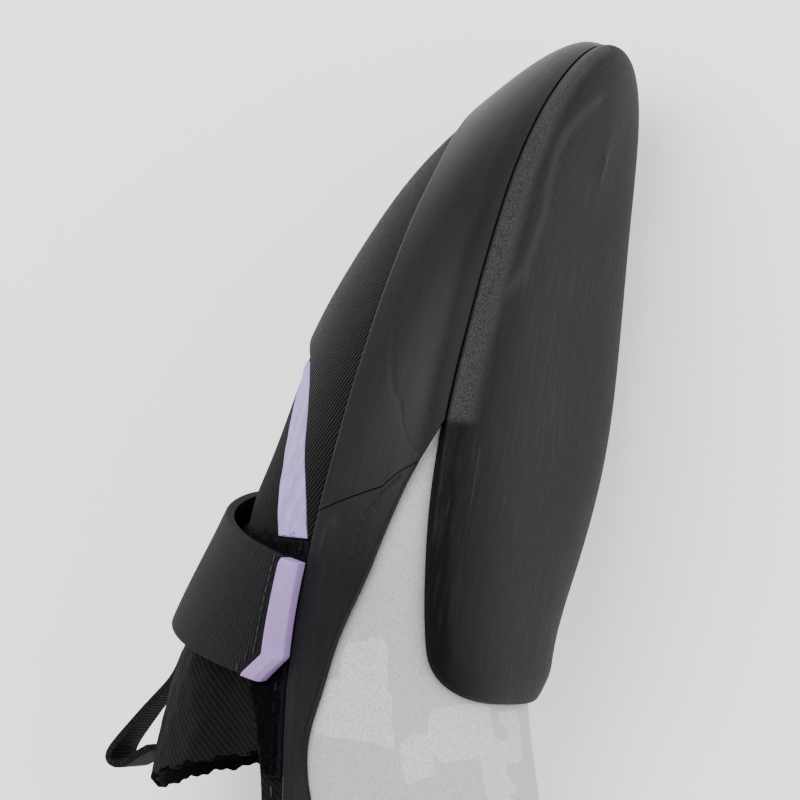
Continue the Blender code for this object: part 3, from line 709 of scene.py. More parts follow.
def microsuede(colours):
    """Microsuede, brushed and printed: dead matte, with a short nap and lighter blocks in the print. Its
    colour has painted shade in the hollows of its grain and painted highlight on the raised nap. The nap is
    drawn about four times as coarse as the real one, which is too fine to show."""

    def build(tree):
        solid, flat, combed = own_places(tree, (0, (1, 1, 1)), (0.5, (1, 3, 1)))
        block = add(tree, "Attribute", attribute_name="block", output="Fac")
        grain = add(tree, "TexNoise", {
            "Vector": solid, "Scale": 1 / (0.6 * MM), "Detail": 5.0, "Roughness": 0.75})
        nap = add(tree, "TexNoise", {
            "Vector": combed, "Scale": 1 / (1.2 * MM), "Detail": 4.0, "Roughness": 0.7})
        rim = add(tree, "TexNoise", {"Vector": flat, "Scale": 1 / (0.7 * MM), "Detail": 3.0})
        rim = add(tree, "MapRange", {
            "Value": rim, "From Min": 0.3, "From Max": 0.7, "To Min": -0.03, "To Max": 0.03})
        block = add(tree, "Math", {0: block, 1: rim}, operation="ADD")
        block = add(tree, "MapRange", {"Value": block, "From Min": 0.46, "From Max": 0.54})
        ground = add(tree, "Mix", {
            0: block, 6: shade(colours.suede, 1), 7: shade(colours.suede_patch, 1)}, data_type="RGBA")
        # Painted shade: the hollows of the grain are darkened towards a darker suede.
        shade_share = add(tree, "MapRange", {
            "Value": grain, "From Min": 0.32, "From Max": 0.60, "To Min": 0.8, "To Max": 0.0})
        wear_and_shade = add(tree, "Mix", {0: shade_share, 6: ground, 7: shade(colours.suede, 0.62)}, data_type="RGBA")
        # Painted highlight: the raised nap is lightened towards a paler suede.
        light = add(tree, "MapRange", {
            "Value": nap, "From Min": 0.4, "From Max": 0.7, "To Min": 0.0, "To Max": 0.3})
        colour = add(tree, "Mix", {0: light, 6: wear_and_shade, 7: shade(colours.suede_patch, 1.15)}, data_type="RGBA")
        return colour, None, ((grain, 0.14 * MM), (nap, 0.08 * MM))

    return finished("microsuede", build, {
        "Roughness": 0.95, "Specular IOR Level": 0.15, "Sheen Weight": 0.12, "Sheen Roughness": 0.6})


def stretch_knit(colours):
    """Rib-knitted stretch fabric: soft and nearly black, its fine slanting ribs and courses
    catch a little light."""

    def build(tree):
        solid, ribbed, crossed = own_places(tree, (0.62, (1, 1, 1)), (0.62 + np.pi / 2, (1, 1, 1)))
        rib = add(tree, "TexWave", {
            "Vector": ribbed, "Scale": wave_scale(1.05 * MM), "Distortion": 0.7, "Detail": 2.0,
            "Detail Scale": 1.5}, output="Fac")
        course = add(tree, "TexWave", {
            "Vector": crossed, "Scale": wave_scale(0.7 * MM), "Distortion": 0.9, "Detail": 2.0}, output="Fac")
        fuzz = add(tree, "TexNoise", {
            "Vector": solid, "Scale": 1 / (0.45 * MM), "Detail": 4.0, "Roughness": 0.7})
        # Painted light: the rib crests are painted lighter as highlight and the hollows between them darker
        # as shade.
        crest = add(tree, "MapRange", {"Value": rib, "From Min": 0.1, "From Max": 0.9})
        cloth = add(tree, "Mix", {
            0: crest, 6: shade(colours.knit, 0.45), 7: shade(colours.knit, 2.2)}, data_type="RGBA")
        lint = add(tree, "MapRange", {
            "Value": fuzz, "From Min": 0.5, "From Max": 0.75, "To Min": 0.0, "To Max": 0.5})
        colour = add(tree, "Mix", {0: lint, 6: cloth, 7: shade(colours.knit, 5.0)}, data_type="RGBA")
        return colour, None, ((rib, 0.28 * MM), (course, 0.10 * MM), (fuzz, 0.08 * MM))

    return finished("stretch_rib_knit", build, {"Roughness": 0.9, "Specular IOR Level": 0.12})


def lining_cloth(colours):
    """Woven lining, light grey: matte, with a plain weave, drawn at twice its real spacing
    so that it shows."""

    def build(tree):
        solid, along, over = own_places(tree, (0, (1, 1, 1)), (np.pi / 2, (1, 1, 1)))
        threads = []
        for place in (along, over):
            threads.append(add(tree, "TexWave", {
                "Vector": place, "Scale": wave_scale(0.6 * MM), "Distortion": 0.3}, output="Fac"))
        # Painted light: the weave is painted lighter where the threads' crests cross, as highlight, and
        # darker between them, as shade.
        weave = add(tree, "Math", {0: threads[0], 1: threads[1]}, operation="MULTIPLY")
        colour = add(tree, "Mix", {
            0: weave, 6: shade(colours.lining, 0.8), 7: shade(colours.lining, 1)}, data_type="RGBA")
        return colour, None, ((weave, 0.12 * MM),)

    return finished("woven_lining", build, {"Roughness": 0.9, "Specular IOR Level": 0.15})


def sole_rubber(colours):
    """Pressed sheet rubber: matte black with fine grain, lengthwise scuffs, and a lighter, grainy band
    along its lateral edge, which is painted highlight where the rounded edge catches the light, and a lighter
    scuff across the sole."""

    def build(tree):
        solid, streaked, scratched = own_places(tree, (0, (0.10, 1, 1)), (-0.35, (0.035, 1, 1)))
        edge = add(tree, "Attribute", attribute_name="edge", output="Fac")
        edge_highlight_and_scuff = add(tree, "Attribute", attribute_name="edge_highlight_and_scuff", output="Fac")
        grain = add(tree, "TexNoise", {
            "Vector": solid, "Scale": 1 / (0.30 * MM), "Detail": 3.0, "Roughness": 0.65})
        streak = add(tree, "TexNoise", {
            "Vector": streaked, "Scale": 1 / (1.3 * MM), "Detail": 5.0, "Roughness": 0.68})
        scratch = add(tree, "TexNoise", {"Vector": scratched, "Scale": 1 / (0.9 * MM), "Detail": 2.0})
        cloud = add(tree, "TexNoise", {"Vector": solid, "Scale": 1 / (24 * MM), "Detail": 3.0})
        dust = add(tree, "MapRange", {"Value": streak, "From Min": 0.48, "From Max": 0.75})
        patchy = add(tree, "MapRange", {
            "Value": cloud, "From Min": 0.40, "From Max": 0.62, "To Min": 0.1, "To Max": 0.7})
        dust = add(tree, "Math", {0: dust, 1: patchy}, operation="MULTIPLY")
        thin = add(tree, "MapRange", {
            "Value": scratch, "From Min": 0.66, "From Max": 0.72, "To Min": 0.0, "To Max": 0.8})
        dust = add(tree, "Math", {0: dust, 1: thin}, operation="MAXIMUM")
        speck = add(tree, "MapRange", {"Value": grain, "From Min": 0.36, "From Max": 0.66})
        colour = add(tree, "Mix", {
            0: speck, 6: shade(colours.sole, 0.2), 7: shade(colours.sole, 0.9)}, data_type="RGBA")
        colour = add(tree, "Mix", {0: dust, 6: colour, 7: shade(colours.scuff_and_highlight, 0.8)}, data_type="RGBA")
        # Painted highlight: the grainy lighter band along the lateral edge, where its rounding catches the
        # light; the same mask also lightens the real scuff across the sole.
        speck = add(tree, "MapRange", {"Value": speck, "To Min": 0.15, "To Max": 1.0})
        ground = add(tree, "Math", {0: speck, 1: edge_highlight_and_scuff}, operation="MULTIPLY")
        colour = add(tree, "Mix", {0: ground, 6: colour, 7: shade(colours.scuff_and_highlight, 1.9)}, data_type="RGBA")
        rim = add(tree, "MapRange", {"Value": edge, "From Max": 0.8 * MM, "To Min": 0.7, "To Max": 0.0})
        colour = add(tree, "Mix", {0: rim, 6: colour, 7: shade(colours.sole, 0.35)}, data_type="RGBA")
        rough = add(tree, "MapRange", {
            "Value": grain, "From Min": 0.3, "From Max": 0.7, "To Min": 0.5, "To Max": 0.7})
        return colour, rough, ((grain, 0.05 * MM), (streak, 0.04 * MM))

    return finished("pressed_rubber", build, {"Specular IOR Level": 0.10})


def rand_rubber(colours):
    """Rolled rubber, roughened on a sanding belt: bluish charcoal with fine curved scratches
    and a soft sheen."""

    def build(tree):
        solid, sanding, lengthwise = own_places(tree, (0.9, (0.05, 1, 1)), (0.10, (0.06, 1, 1)))
        sanded = add(tree, "TexNoise", {
            "Vector": sanding, "Scale": 1 / (0.8 * MM), "Detail": 5.0, "Roughness": 0.7})
        along = add(tree, "TexNoise", {
            "Vector": lengthwise, "Scale": 1 / (0.8 * MM), "Detail": 4.0, "Roughness": 0.65})
        cloud = add(tree, "TexNoise", {"Vector": solid, "Scale": 1 / (28 * MM), "Detail": 2.0})
        grain = add(tree, "TexNoise", {
            "Vector": solid, "Scale": 1 / (0.35 * MM), "Detail": 3.0, "Roughness": 0.6})
        marks = add(tree, "MapRange", {"Value": sanded, "From Min": 0.46, "From Max": 0.70})
        patchy = add(tree, "MapRange", {"Value": cloud, "From Min": 0.42, "From Max": 0.62})
        marks = add(tree, "Math", {0: marks, 1: patchy}, operation="MULTIPLY")
        rolled = add(tree, "MapRange", {
            "Value": along, "From Min": 0.5, "From Max": 0.8, "To Min": 0.0, "To Max": 0.6})
        marks = add(tree, "Math", {0: marks, 1: rolled}, operation="MAXIMUM")
        share = add(tree, "Math", {0: marks, 1: 0.8}, operation="MULTIPLY")
        colour = add(tree, "Mix", {
            0: share, 6: shade(colours.rand, 1), 7: shade(colours.rand, 3.2)}, data_type="RGBA")
        speck = add(tree, "MapRange", {
            "Value": grain, "From Min": 0.45, "From Max": 0.75, "To Min": 0.0, "To Max": 0.5})
        colour = add(tree, "Mix", {0: speck, 6: colour, 7: shade(colours.rand, 3.0)}, data_type="RGBA")
        rough = add(tree, "MapRange", {"Value": marks, "To Min": 0.46, "To Max": 0.62})
        return colour, rough, ((grain, 0.035 * MM), (sanded, 0.03 * MM))

    return finished("sanded_rubber", build, {"Specular IOR Level": 0.16})


def ribbed_rubber(colours):
    """Moulded rubber with fine slanting ribs: painted shade makes it black between them, and their crests
    shine with painted highlight and a glossier finish.
    """

    def build(tree):
        solid, slanted = own_places(tree, (-0.95, (1, 1, 1)))
        rib = add(tree, "TexWave", {
            "Vector": slanted, "Scale": wave_scale(0.95 * MM), "Distortion": 0.3, "Detail": 2.0,
            "Detail Scale": 1.5}, output="Fac")
        grain = add(tree, "TexNoise", {
            "Vector": solid, "Scale": 1 / (0.4 * MM), "Detail": 3.0, "Roughness": 0.6})
        # Painted light: the rib crests are painted lighter as highlight and the hollows between them darker
        # as shade.
        crest = add(tree, "MapRange", {"Value": rib, "From Min": 0.2, "From Max": 0.9})
        colour = add(tree, "Mix", {
            0: crest, 6: shade(colours.ribbed, 0.4), 7: shade(colours.ribbed, 1.8)}, data_type="RGBA")
        rough = add(tree, "MapRange", {"Value": crest, "To Min": 0.7, "To Max": 0.42})
        return colour, rough, ((rib, 0.28 * MM), (grain, 0.03 * MM))

    return finished("ribbed_rubber", build, {"Specular IOR Level": 0.07})


def synthetic_leather(colours):
    """Coated synthetic leather, lavender: satin, finely pebbled, and wrinkled where the flap flexes."""

    def build(tree):
        solid, drawn = own_places(tree, (0.2, (0.35, 1, 1)))
        pebble = add(tree, "TexVoronoi", {"Vector": solid, "Scale": 1 / (0.7 * MM)})
        wrinkle = add(tree, "TexNoise", {
            "Vector": drawn, "Scale": 1 / (2.6 * MM), "Detail": 4.0, "Roughness": 0.6})
        # Painted light: the wrinkles' ridges are painted lighter as highlight and their hollows darker as
        # shade.
        tone = add(tree, "MapRange", {"Value": wrinkle, "From Min": 0.40, "From Max": 0.60})
        colour = add(tree, "Mix", {
            0: tone, 6: shade(colours.lavender, 0.82), 7: shade(colours.lavender, 1.1)}, data_type="RGBA")
        return colour, None, ((pebble, 0.03 * MM), (wrinkle, 0.25 * MM))

    return finished("synthetic_leather", build, {"Roughness": 0.55, "Specular IOR Level": 0.3})


def loop_pile_cloth(colours):
    """Looped pile, the soft half of the closure: dull, tangled and deep black."""

    def build(tree):
        solid, = own_places(tree)
        tangle = add(tree, "TexNoise", {
            "Vector": solid, "Scale": 1 / (0.8 * MM), "Detail": 6.0, "Roughness": 0.75})
        # Painted light: the raised tangle is painted lighter as highlight and the hollows between the loops
        # darker as shade.
        tone = add(tree, "MapRange", {"Value": tangle, "From Min": 0.35, "From Max": 0.75})
        colour = add(tree, "Mix", {
            0: tone, 6: shade(colours.pile, 0.4), 7: shade(colours.pile, 3.0)}, data_type="RGBA")
        return colour, None, ((tangle, 0.5 * MM),)

    return finished("loop_pile", build, {"Roughness": 0.95, "Specular IOR Level": 0.08})


def woven_webbing(colours):
    """Woven polyester webbing: ribs across it, threads in them, and broken filaments that
    stand off as lint."""

    def build(tree):
        solid, crossed, twisted, wear_and_shade = own_places(
            tree, (0.05, (1, 1, 1)), (0.75, (1, 1, 1)), (0.1, (1, 0.3, 1)))
        rib = add(tree, "TexWave", {
            "Vector": crossed, "Scale": wave_scale(0.78 * MM), "Distortion": 0.35, "Detail": 2.0,
            "Detail Scale": 1.5}, output="Fac")
        twist = add(tree, "TexWave", {
            "Vector": twisted, "Scale": wave_scale(0.45 * MM), "Distortion": 0.5}, output="Fac")
        lint = add(tree, "TexNoise", {
            "Vector": wear_and_shade, "Scale": 1 / (0.6 * MM), "Detail": 5.0, "Roughness": 0.72})
        # Painted light: the rib crests are painted lighter as highlight and the hollows between them darker
        # as shade.
        crest = add(tree, "MapRange", {"Value": rib, "From Min": 0.15, "From Max": 0.9})
        cloth = add(tree, "Mix", {
            0: crest, 6: shade(colours.webbing, 0.35), 7: shade(colours.webbing, 2.0)}, data_type="RGBA")
        share = add(tree, "MapRange", {
            "Value": lint, "From Min": 0.55, "From Max": 0.78, "To Min": 0.0, "To Max": 0.5})
        colour = add(tree, "Mix", {0: share, 6: cloth, 7: shade(colours.webbing, 7.0)}, data_type="RGBA")
        return colour, None, ((rib, 0.26 * MM), (twist, 0.05 * MM), (lint, 0.06 * MM))

    return finished("woven_webbing", build, {"Roughness": 0.8, "Specular IOR Level": 0.18})


def moulded_tab(colours):
    """Injection-moulded soft plastic, lavender: satin and even, with a faint mottle."""

    def build(tree):
        solid, = own_places(tree)
        mottle = add(tree, "TexNoise", {"Vector": solid, "Scale": 1 / (5 * MM), "Detail": 3.0})
        grain = add(tree, "TexNoise", {"Vector": solid, "Scale": 1 / (0.3 * MM), "Detail": 2.0})
        tone = add(tree, "MapRange", {"Value": mottle, "From Min": 0.35, "From Max": 0.65})
        colour = add(tree, "Mix", {
            0: tone, 6: shade(colours.tab, 0.94), 7: shade(colours.tab, 1.05)}, data_type="RGBA")
        return colour, None, ((grain, 0.015 * MM),)

    return finished("moulded_soft_plastic", build, {"Roughness": 0.45, "Specular IOR Level": 0.35})


def sewing_thread(colours):
    """Bonded polyester thread: twisted, with a slight shine."""

    def build(tree):
        solid, = own_places(tree)
        twist = add(tree, "TexWave", {
            "Vector": solid, "Scale": wave_scale(0.5 * MM), "Distortion": 0.4}, output="Fac")
        # Painted light: the twist's crests are painted lighter as highlight and the grooves between them
        # darker as shade.
        colour = add(tree, "Mix", {
            0: twist, 6: shade(colours.thread, 0.7), 7: shade(colours.thread, 2.4)}, data_type="RGBA")
        return colour, None, ((twist, 0.05 * MM),)

    return finished("bonded_thread", build, {"Roughness": 0.5, "Specular IOR Level": 0.35})


def studio_floor(colours):
    """Opal acrylic of a light table: pale and matte with a trace of grain, and softly lit from inside, so
    shadows on it stay faint."""

    def build(tree):
        solid, = own_places(tree)
        grain = add(tree, "TexNoise", {"Vector": solid, "Scale": 1 / (12 * MM), "Detail": 3.0})
        colour = add(tree, "Mix", {
            0: grain, 6: shade(colours.floor, 0.985), 7: shade(colours.floor, 1)}, data_type="RGBA")
        return colour, None, ()

    return finished("opal_acrylic", build, {
        "Roughness": 0.9, "Specular IOR Level": 0.1,
        "Emission Color": (1, 1, 1, 1), "Emission Strength": 0.5})


# Pieces.


def shoe_settings():
    """The sizes and colours that the user set."""
    scene = bpy.context.scene
    return scene.shoe_sizes, scene.shoe_colours


def layer_solid(name, node, place, thickness, material, radius, folds=None, extra=0.0):
    """Solid layer on the upper. Its outer face stands off by thickness and the extra lift given, and drops
    to its borders by a quarter of a circle of the radius, but stays a tenth of a millimetre thick."""
    station, height, border = place
    distance = np.min(list(border.values()), axis=0)
    radius = min(radius, thickness)
    top = CLEARANCE + thickness - radius + radius * round_edge(distance, radius) + extra
    inner = lifted(station, height, CLEARANCE)
    outer = lifted(station, height, np.maximum(top, CLEARANCE + 0.1 * MM))
    solid = slab(laid(inner), laid(outer), folds or {}, place_texture(station, height))
    settle(piece(name, *solid, [material]), node)


# Height up to which the side of the upper is suede and its rows of faces are level.
SIDE_TOP = 0.59

# Rectangles of the print on the microsuede: station, height, half length and half rise in millimetres, and
# turn. Those that overlap read as one block with steps in its outline.
PRINTED_BLOCKS = (
    (4.98, 0.465, 7.6, 10.2, 0.05), (4.72, 0.482, 5.0, 14.0, -0.05), (4.42, 0.330, 3.6, 7.5, 0.15),
    (4.62, 0.170, 4.6, 18.0, 0.04), (4.33, 0.060, 5.5, 12.0, 0.0), (3.55, 0.330, 8.5, 7.0, 0.1),
    (3.25, 0.230, 5.0, 9.0, -0.1), (2.70, 0.100, 9.0, 6.0, 0.1), (17.40, 0.030, 4.6, 8.0, 0.0),
    (17.10, 0.420, 8.0, 7.5, -0.1), (16.75, 0.340, 5.0, 9.5, 0.1), (17.95, 0.280, 8.5, 6.5, 0.05),
    (18.45, 0.430, 6.5, 6.0, 0.1), (15.90, 0.250, 7.0, 8.0, -0.1), (15.55, 0.400, 5.5, 6.0, 0.1),
)


def printed_blocks(station, height):
    """How far inside the nearest printed block a place lies: a half on its rim, 1 deep inside. A block is a
    squared-off ellipse, given by its station and height, its two half sizes in millimetres and its turn."""
    inside = 0
    for block_station, block_height, half_length, half_rise, turn in PRINTED_BLOCKS:
        x = (station - block_station) * STATION_LENGTH / MM
        y = (height - block_height) * HEIGHT_LENGTH / MM
        u = (x * np.cos(turn) + y * np.sin(turn)) / half_length
        v = (y * np.cos(turn) - x * np.sin(turn)) / half_rise
        u = u + 0.05 * np.sin(3 * v + block_station)
        v = v + 0.05 * np.sin(3 * u + block_station)
        inside = np.maximum(inside, 1 - 0.5 * (np.abs(u) ** 10 + np.abs(v) ** 10) ** 0.1)
    return np.clip((inside - 0.5) * 4 + 0.5, 0, 1)


class SHOE_OT_upper(bpy.types.Operator):
    """Suede upper with its knit throat and lining"""

    bl_idname = "shoe.upper"
    bl_label = "Upper"

    def execute(self, context):
        """The whole last from the sole's middle line up to the collar and, in front of it, up to the ridge.
        Its outer face is the last with a little slack at the arch, its inner one lies a wall's thickness
        inside, and both meet at the collar in a half circle. Above SIDE_TOP the outer face is knit."""
        sizes, colours = shoe_settings()
        station = np.linspace(0, LOOP, 441)[:, None]
        rows = [np.linspace(0, 0.26, 8), np.linspace(0.28, SIDE_TOP, 30), np.linspace(0.6, 1, 34)]
        rows = np.concatenate(rows)[None, :]
        top = np.minimum(collar(station), 1)
        height = SIDE_TOP + (rows - SIDE_TOP) * (top - SIDE_TOP) / (1 - SIDE_TOP)
        height = np.where(rows <= SIDE_TOP, rows, height)
        to_edge = np.where(top < 1, (top - height) * HEIGHT_LENGTH, 1.0)
        half_wall = sizes.upper_wall / 2
        rounding = half_wall * (1 - round_edge(to_edge, half_wall))
        slack = waves(station, height, seed=3, length=38 * MM, size=0.25 * MM)
        slack = slack * smooth_step((height - 0.30) / 0.1)
        slack = slack * smooth_step((0.56 - height) / 0.08)
        inner = lifted(station, height, -sizes.upper_wall + rounding)
        outer = lifted(station, height, slack - rounding)
        middle = height >= 1 - 1e-9
        folds = {
            "low": np.ones(station.size, bool),
            "high": middle[:, -1],
            "start": np.ones(rows.size, bool),
            "end": np.ones(rows.size, bool),
        }
        solid = slab(laid(inner), laid(outer), folds, place_texture(station, height))
        cell_rows = np.tile(np.arange(rows.size - 1), station.size - 1)
        knit_from = np.searchsorted(rows[0], SIDE_TOP, side="right")
        walls = len(solid[1]) - 2 * cell_rows.size
        suede, knit, lining = range(3)
        faces_of = np.concatenate([
            np.full(cell_rows.size, lining),
            np.where(cell_rows >= knit_from, knit, suede),
            np.full(walls, knit),
        ])
        materials = [microsuede(colours), stretch_knit(colours), lining_cloth(colours)]
        block = {"block": np.concatenate([printed_blocks(station, height).ravel()] * 2)}
        settle(piece("suede_upper", *solid, materials, faces_of=faces_of, attributes=block), "upper")
        return {"FINISHED"}


class SHOE_OT_insole(bpy.types.Operator):
    """Insole board inside the shell"""

    bl_idname = "shoe.insole"
    bl_label = "Insole"

    def execute(self, context):
        """A band of heights either side of the sole's middle line, its two faces
        inside the upper's wall."""
        sizes, colours = shoe_settings()
        station = np.linspace(INSOLE_BACK, INSOLE_FRONT, 90)[:, None]
        height = (shares(30, 0.03)[None, :] * 2 - 1) * INSOLE_SIDE
        top = -sizes.upper_wall - CLEARANCE
        inner = lifted(station, height, top - sizes.insole)
        outer = lifted(station, height, top)
        solid = slab(laid(inner), laid(outer), {}, place_texture(station, height))
        settle(piece("insole_board", *solid, [lining_cloth(colours)]), "insole")
        return {"FINISHED"}


class SHOE_OT_outsole(bpy.types.Operator):
    """Half sole with its ground edge"""

    bl_idname = "shoe.outsole"
    bl_label = "Outsole"

    def execute(self, context):
        """Shares of the way from the sole's middle line to its edge on both sides, and from the rounded
        back end to the tip. The outer face rises by a quarter of a sine wave over the ground edge."""
        sizes, colours = shoe_settings()
        across = shares(150, 0.012)[None, :] * 2 - 1
        power = OUTSOLE_CORNER_POWER
        back = OUTSOLE_BACK + OUTSOLE_CORNER * (1 - (1 - np.abs(across) ** power) ** (1 / power))
        share = shares(150, 0.0008)[:, None]
        station = back + (TOE - back) * share
        edge = np.where(across < 0, sole_edge(LOOP - station), sole_edge(station)) - EDGE_GAP
        height = across * edge
        from_side = (edge - np.abs(height)) * HEIGHT_LENGTH
        from_back = (station - back) * STATION_LENGTH
        inward = np.minimum(from_side, from_back)
        rise = np.sin(np.clip(inward / sizes.bevel, 0, 1) * np.pi / 2)
        corner = 0.5 * MM
        outer = CLEARANCE + sizes.outsole_edge + (sizes.outsole - sizes.outsole_edge) * rise
        outer = outer - corner * (1 - round_edge(inward, corner))
        # Painted highlight: a band along the rounded lateral edge over the front of the sole, where it
        # catches the light. The scuff across the sole added to it is real wear.
        bevel = smooth_step((1.9 * sizes.bevel - from_side) / (1.2 * sizes.bevel)) * (across > 0)
        edge_highlight_and_scuff = bevel * smooth_step((station - EDGE_HIGHLIGHT_FROM) / 0.06)
        scuffed = from_path(SCUFF, station, height)[0]
        edge_highlight_and_scuff = np.maximum(edge_highlight_and_scuff, 0.45 * np.exp(-(scuffed / (2.2 * MM)) ** 2))
        solid = slab(
            laid(lifted(station, height, CLEARANCE)), laid(lifted(station, height, outer)),
            {"end": np.ones(across.size, bool)}, place_texture(station, height))
        values = {"edge": inward, "edge_highlight_and_scuff": edge_highlight_and_scuff}
        attributes = {key: np.concatenate([value.ravel()] * 2) for key, value in values.items()}
        settle(piece("sole_rubber", *solid, [sole_rubber(colours)], attributes=attributes), "outsole")
        return {"FINISHED"}


def rand_band(name, node, back, front, low, slants, columns, material, thickness, extra):
    """One rubber band of the rand, with rounded edges and the lines that show through it. Its two ends,
    which butt against the other band, are rounded a ninth as much."""
    end_sharpness = 9
    radius = 0.7 * MM
    place = patch(back, front, low, lambda ring: rand_top(ring) - EDGE_GAP, columns, 56, slants, radius)
    station, height, border = place
    folded = height[:, 0] <= 1e-9
    border["low"] = np.where(folded[:, None], 1.0, border["low"])
    for end in ("start", "end"):
        border[end] = end_sharpness * border[end]
    lines = extra(np.mod(station, LOOP), height)
    layer_solid(name, node, place, thickness, material, radius, {"low": folded}, lines)


class SHOE_OT_rands(bpy.types.Operator):
    """Toe band and heel band of the rubber rand"""

    bl_idname = "shoe.rands"
    bl_label = "Rand"

    def execute(self, context):
        sizes, colours = shoe_settings()
        material = rand_rubber(colours)

        def toe_lines(side, height):
            """A groove along the seam, over slow unevenness."""
            distance = from_path(TOE_BAND_SEAM, side, height)[0]
            seam = groove(distance, width=0.4 * MM, depth=0.14 * MM)
            return seam + waves(side, height, seed=5, length=30 * MM, size=0.10 * MM)

        def heel_lines(side, height):
            """Dimples of the sewn line, the soft fold along the band, and slow unevenness."""
            distance, along = from_path(HIDDEN_STITCHING, side, height)
            dashes = 0.65 + 0.35 * np.sin(along / sizes.stitch * 2 * np.pi)
            sewn = groove(distance, width=0.45 * MM, depth=0.30 * MM) * dashes
            distance = from_path(HEEL_BAND_FOLD, side, height)[0]
            fold = groove(distance, width=1.4 * MM, depth=-0.35 * MM)
            return sewn + fold + waves(side, height, seed=6, length=34 * MM, size=0.10 * MM)

        rand_band(
            "toe_band", "toe_rand", RAND_JOINT + BUTT_GAP, LOOP - RAND_JOINT - BUTT_GAP,
            lambda ring: np.maximum(rand_foot(ring), sole_edge(ring)) + EDGE_GAP,
            (-RAND_JOINT_SLANT, RAND_JOINT_SLANT), 330, material, sizes.rand, toe_lines)
        rand_band(
            "heel_band", "heel_rand", LOOP - RAND_JOINT + BUTT_GAP, LOOP + RAND_JOINT - BUTT_GAP,
            lambda ring: np.maximum(rand_foot(ring), 0),
            (RAND_JOINT_SLANT, -RAND_JOINT_SLANT), 420, material, sizes.rand, heel_lines)
        return {"FINISHED"}


class SHOE_OT_toe_patch(bpy.types.Operator):
    """Ribbed patch over the toes"""

    bl_idname = "shoe.toe_patch"
    bl_label = "Toe patch"

    def execute(self, context):
        """A layer from the rand's top up to the patch's own edge, or to the ridge where both sides meet."""
        sizes, colours = shoe_settings()
        place = patch(
            TRIM_BACK + END_GAP, LOOP - TRIM_BACK_MEDIAL - END_GAP,
            lambda ring: rand_top(ring) + EDGE_GAP,
            lambda ring: np.minimum(patch_top(ring), 1) - np.where(patch_top(ring) < 1, EDGE_GAP, 0),
            columns=300, rows=60)
        station, height, border = place
        folded = height[:, -1] >= 1 - 1e-9
        border["high"] = np.where(folded[:, None], 1.0, border["high"])
        layer_solid(
            "toe_cap", "toe_patch", place, sizes.toe_patch, ribbed_rubber(colours), radius=0.5 * MM,
            folds={"high": folded})
        return {"FINISHED"}


class SHOE_OT_trim(bpy.types.Operator):
    """Lavender trim on both sides of the throat"""

    bl_idname = "shoe.trim"
    bl_label = "Throat trim"

    def execute(self, context):
        """Two layers from the toe patch's edge up to the stripe's own edge, with small wrinkles."""
        sizes, colours = shoe_settings()
        material = synthetic_leather(colours)
        ends = {
            "stripe_lateral": ("lateral_trim", TRIM_BACK + END_GAP, STRIPE_FRONT),
            "stripe_medial": ("medial_trim", LOOP - STRIPE_FRONT, LOOP - TRIM_BACK_MEDIAL - END_GAP),
        }
        for node, (name, start, end) in ends.items():
            place = patch(
                start, end, lambda ring: patch_top(ring) + EDGE_GAP, stripe_top, columns=110, rows=24)
            wrinkles = waves(*place[:2], seed=8, length=7 * MM, size=0.12 * MM)
            layer_solid(name, node, place, sizes.trim, material, radius=0.35 * MM, extra=wrinkles)
        return {"FINISHED"}


def curl(count, size, seed, place_of):
    """Points and faces of many small loops of yarn. Each is half a ring of a thin three-sided tube, its
    feet in the cloth, turned, leaned and sized at random. place_of gives the feet, their normals and one
    tangent each, from a random generator and the count."""
    rings, sides, half_thickness = 6, 3, 0.055 * MM
    draw = np.random.default_rng(seed)
    feet, normals, tangents = place_of(draw, count)
    across = np.cross(normals, tangents)
    turn = draw.uniform(0, 2 * np.pi, count)[:, None]
    side = tangents * np.cos(turn) + across * np.sin(turn)
    lean = np.cross(side, normals) * draw.uniform(-0.7, 0.7, count)[:, None]
    up = normals + lean
    up /= np.linalg.norm(up, axis=-1, keepdims=True)
    width = (size * draw.uniform(0.5, 1.1, count))[:, None, None]
    tall = (size * draw.uniform(0.7, 1.5, count))[:, None, None]
    angle = np.linspace(0, np.pi, rings)[None, :, None]
    line = feet[:, None] + side[:, None] * np.cos(angle) * width / 2 + up[:, None] * np.sin(angle) * tall
    outward = side[:, None] * np.cos(angle) + up[:, None] * np.sin(angle)
    binormal = np.broadcast_to(np.cross(side, up)[:, None], outward.shape)
    around_tube = (np.arange(sides) * 2 * np.pi / sides)[:, None]
    ring = outward[:, :, None] * np.cos(around_tube) + binormal[:, :, None] * np.sin(around_tube)
    points = line[:, :, None] + ring * half_thickness
    return points.reshape(-1, 3), tube_faces(count, rings, sides)


def scatter(station_range, height_of, lift):
    """A placing function for curl: random places on the last between two stations, at heights between the
    two edges that height_of gives for a station, at a lift that is a length or a function of the place."""

    def place(draw, count):
        station = draw.uniform(*station_range, count)
        low, high = height_of(station)
        height = low + (high - low) * draw.uniform(0, 1, count)
        level = lift(station, height) if callable(lift) else lift
        feet = lifted(station, height, level)
        above = lifted(station, height, level + 1 * MM)
        ahead = lifted(station + 0.02, height, level)
        normals = (above - feet) / MM
        tangents = ahead - feet
        tangents /= np.linalg.norm(tangents, axis=-1, keepdims=True)
        return feet, normals, tangents

    return place


